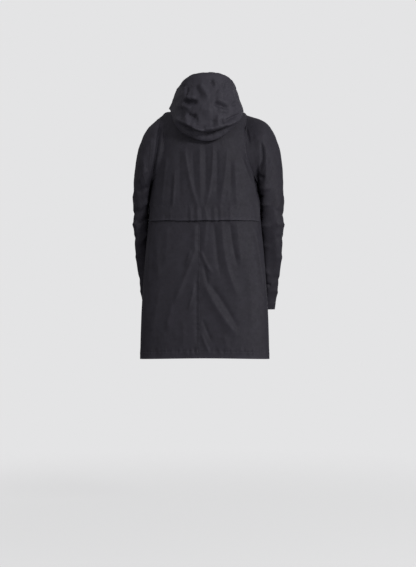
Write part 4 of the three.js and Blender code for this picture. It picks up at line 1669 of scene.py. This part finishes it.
@dataclass
class Studio:
    """A pale floor and backdrop, four softboxes and the camera, which looks at the coat's back.

    The key light is above on the coat's right, and a broader one stands lower at that side. Weaker ones
    open the shade on the left and in front.
    """

    camera: tuple[float, float, float] = (-0.0125, 5.5, -0.671)
    coat_distance: float = 5.4  # from the camera to the back of the coat
    view_height: float = 567 * 3.8 * MM  # of the picture, where the coat's back is
    sensor: float = 36.0
    coat_middle: tuple[float, float, float] = (0.0, 0.0, -0.45)
    key_power: float = 106.0
    lights: tuple[Softbox, ...] = (
        Softbox("key", (-2.7, 3.9, 1.5), 0.9, 1.0),
        Softbox("side", (-3.8, 1.7, -0.8), 1.4, 0.52),
        Softbox("far_side", (2.6, 3.6, 0.1), 1.6, 0.30),
        Softbox("front_fill", (-0.6, -4.0, 0.5), 2.4, 0.24),
    )
    backdrop: str = "#e4e4e5"
    fill: float = 0.27
    fill_slope: tuple[float, float] = (-0.6, 0.8)  # how far up it starts to light the coat, and is full
    floor_z: float = -1.60
    floor_half: float = 6.0
    floor_paint: str = "#f2f2f2"
    floor_fade: tuple[float, float] = (0.6, 2.6)  # metres from the coat over which it fades out

    def build(self) -> None:
        """Set up camera, floor, lights and surroundings."""
        scene = bpy.context.scene
        scene.view_settings.view_transform = "Standard"
        data = bpy.data.cameras.new("camera")
        data.sensor_width = self.sensor
        data.lens = data.sensor_width * self.coat_distance / self.view_height
        camera = bpy.data.objects.new("camera", data)
        camera.location = self.camera
        camera.rotation_euler = (math.radians(90), 0, math.radians(180))
        scene.collection.objects.link(camera)
        scene.camera = camera
        for softbox in self.lights:
            self.light(softbox)
        self.surroundings()
        self.floor()

    def light(self, softbox: Softbox) -> None:
        """Hang a softbox.

        Args:
            softbox: where it hangs, its size and its power.
        """
        data = bpy.data.lights.new(softbox.name, "AREA")
        data.size = softbox.size
        data.energy = self.key_power * softbox.share
        lamp = bpy.data.objects.new(softbox.name, data)
        lamp.location = softbox.place
        towards = Vector(self.coat_middle) - Vector(softbox.place)
        lamp.rotation_euler = towards.to_track_quat("-Z", "Y").to_euler()
        bpy.context.scene.collection.objects.link(lamp)

    def surroundings(self) -> None:
        """A pale backdrop all round, which lights the coat less than it shows, and more from above."""
        world = bpy.data.worlds.new("studio")
        tree = empty_tree(world)
        shown = add_node(tree, "ShaderNodeBackground", {}, {"Color": colour(self.backdrop), "Strength": 1.0})
        way = add_node(tree, "ShaderNodeTexCoord")
        height = add_node(tree, "ShaderNodeSeparateXYZ", {}, {0: way.outputs["Generated"]})
        above = add_node(
            tree, "ShaderNodeMapRange", {},
            {
                "Value": height.outputs["Z"], "From Min": self.fill_slope[0], "From Max": self.fill_slope[1],
                "To Min": 0.0, "To Max": self.fill * 1.7,
            },
        )
        lit = add_node(
            tree, "ShaderNodeBackground", {},
            {"Color": colour(self.backdrop), "Strength": above.outputs["Result"]},
        )
        path = add_node(tree, "ShaderNodeLightPath")
        both = add_node(
            tree, "ShaderNodeMixShader", {},
            {0: path.outputs["Is Camera Ray"], 1: lit.outputs[0], 2: shown.outputs[0]},
        )
        add_node(tree, "ShaderNodeOutputWorld", {}, {"Surface": both.outputs[0]})
        bpy.context.scene.world = world

    def floor(self) -> None:
        """A painted floor that fades into the backdrop away from the coat."""
        half, down = self.floor_half / MM, self.floor_z / MM
        corners = [[-half, -half, down], [half, -half, down], [half, half, down], [-half, half, down]]
        floor = mesh_object("floor", np.array(corners), np.array([[0, 1, 2, 3]]))
        made = bpy.data.materials.new("painted_studio_floor")
        tree = empty_tree(made)
        place = add_node(tree, "ShaderNodeTexCoord")
        centre = add_node(
            tree, "ShaderNodeVectorMath", {"operation": "MULTIPLY"},
            {0: place.outputs["Object"], 1: (1.0, 1.0, 0.0)},
        )
        away = add_node(tree, "ShaderNodeVectorMath", {"operation": "LENGTH"}, {0: centre.outputs[0]})
        fade = add_node(
            tree, "ShaderNodeMapRange", {"interpolation_type": "SMOOTHSTEP"},
            {
                "Value": away.outputs["Value"], "To Min": 0.75, "To Max": 1.0,
                "From Min": self.floor_fade[0], "From Max": self.floor_fade[1],
            },
        )
        paint = add_node(
            tree, "ShaderNodeBsdfPrincipled", {},
            {"Base Color": colour(self.floor_paint), "Roughness": 0.85, "Specular IOR Level": 0.1},
        )
        clear = add_node(tree, "ShaderNodeBsdfTransparent")
        both = add_node(
            tree, "ShaderNodeMixShader", {},
            {0: fade.outputs["Result"], 1: paint.outputs[0], 2: clear.outputs[0]},
        )
        add_node(tree, "ShaderNodeOutputMaterial", {}, {"Surface": both.outputs[0]})
        floor.data.materials.append(made)


def main() -> None:
    """Build the coat piece by piece, dress it and set up the studio."""
    logging.basicConfig(level=logging.INFO, format="%(name)s: %(message)s")
    shell = Twill("proofed_twill", dark="#2a282f", pale="#312f37", rubbed="#3e3c45").material()
    # the hood's copy of the same twill is painted paler than the body's: painted light, for the stronger
    # light that falls on the hood
    hood_twill_painted_lit = Twill("proofed_twill_hood_painted_light", dark="#34323a", pale="#3d3b43", rubbed="#494750").material()
    thread = Thread().material()
    sleeves = [Sleeve(left).cloth() for left in (True, False)]
    cloths = [*Panels().build(), *sleeves, *Hood().build(), *Trims().build()]
    for cloth in cloths:
        piece = cloth.build()
        is_hood = cloth.name.startswith("hood")
        piece.data.materials.append(hood_twill_painted_lit if is_hood else shell)
        sewing = Stitches().build(cloth)
        sewing.data.materials.append(thread)
        LOG.info("%s: %d faces", cloth.name, len(piece.data.polygons))
    Studio().build()


if __name__ == "__main__":
    main()
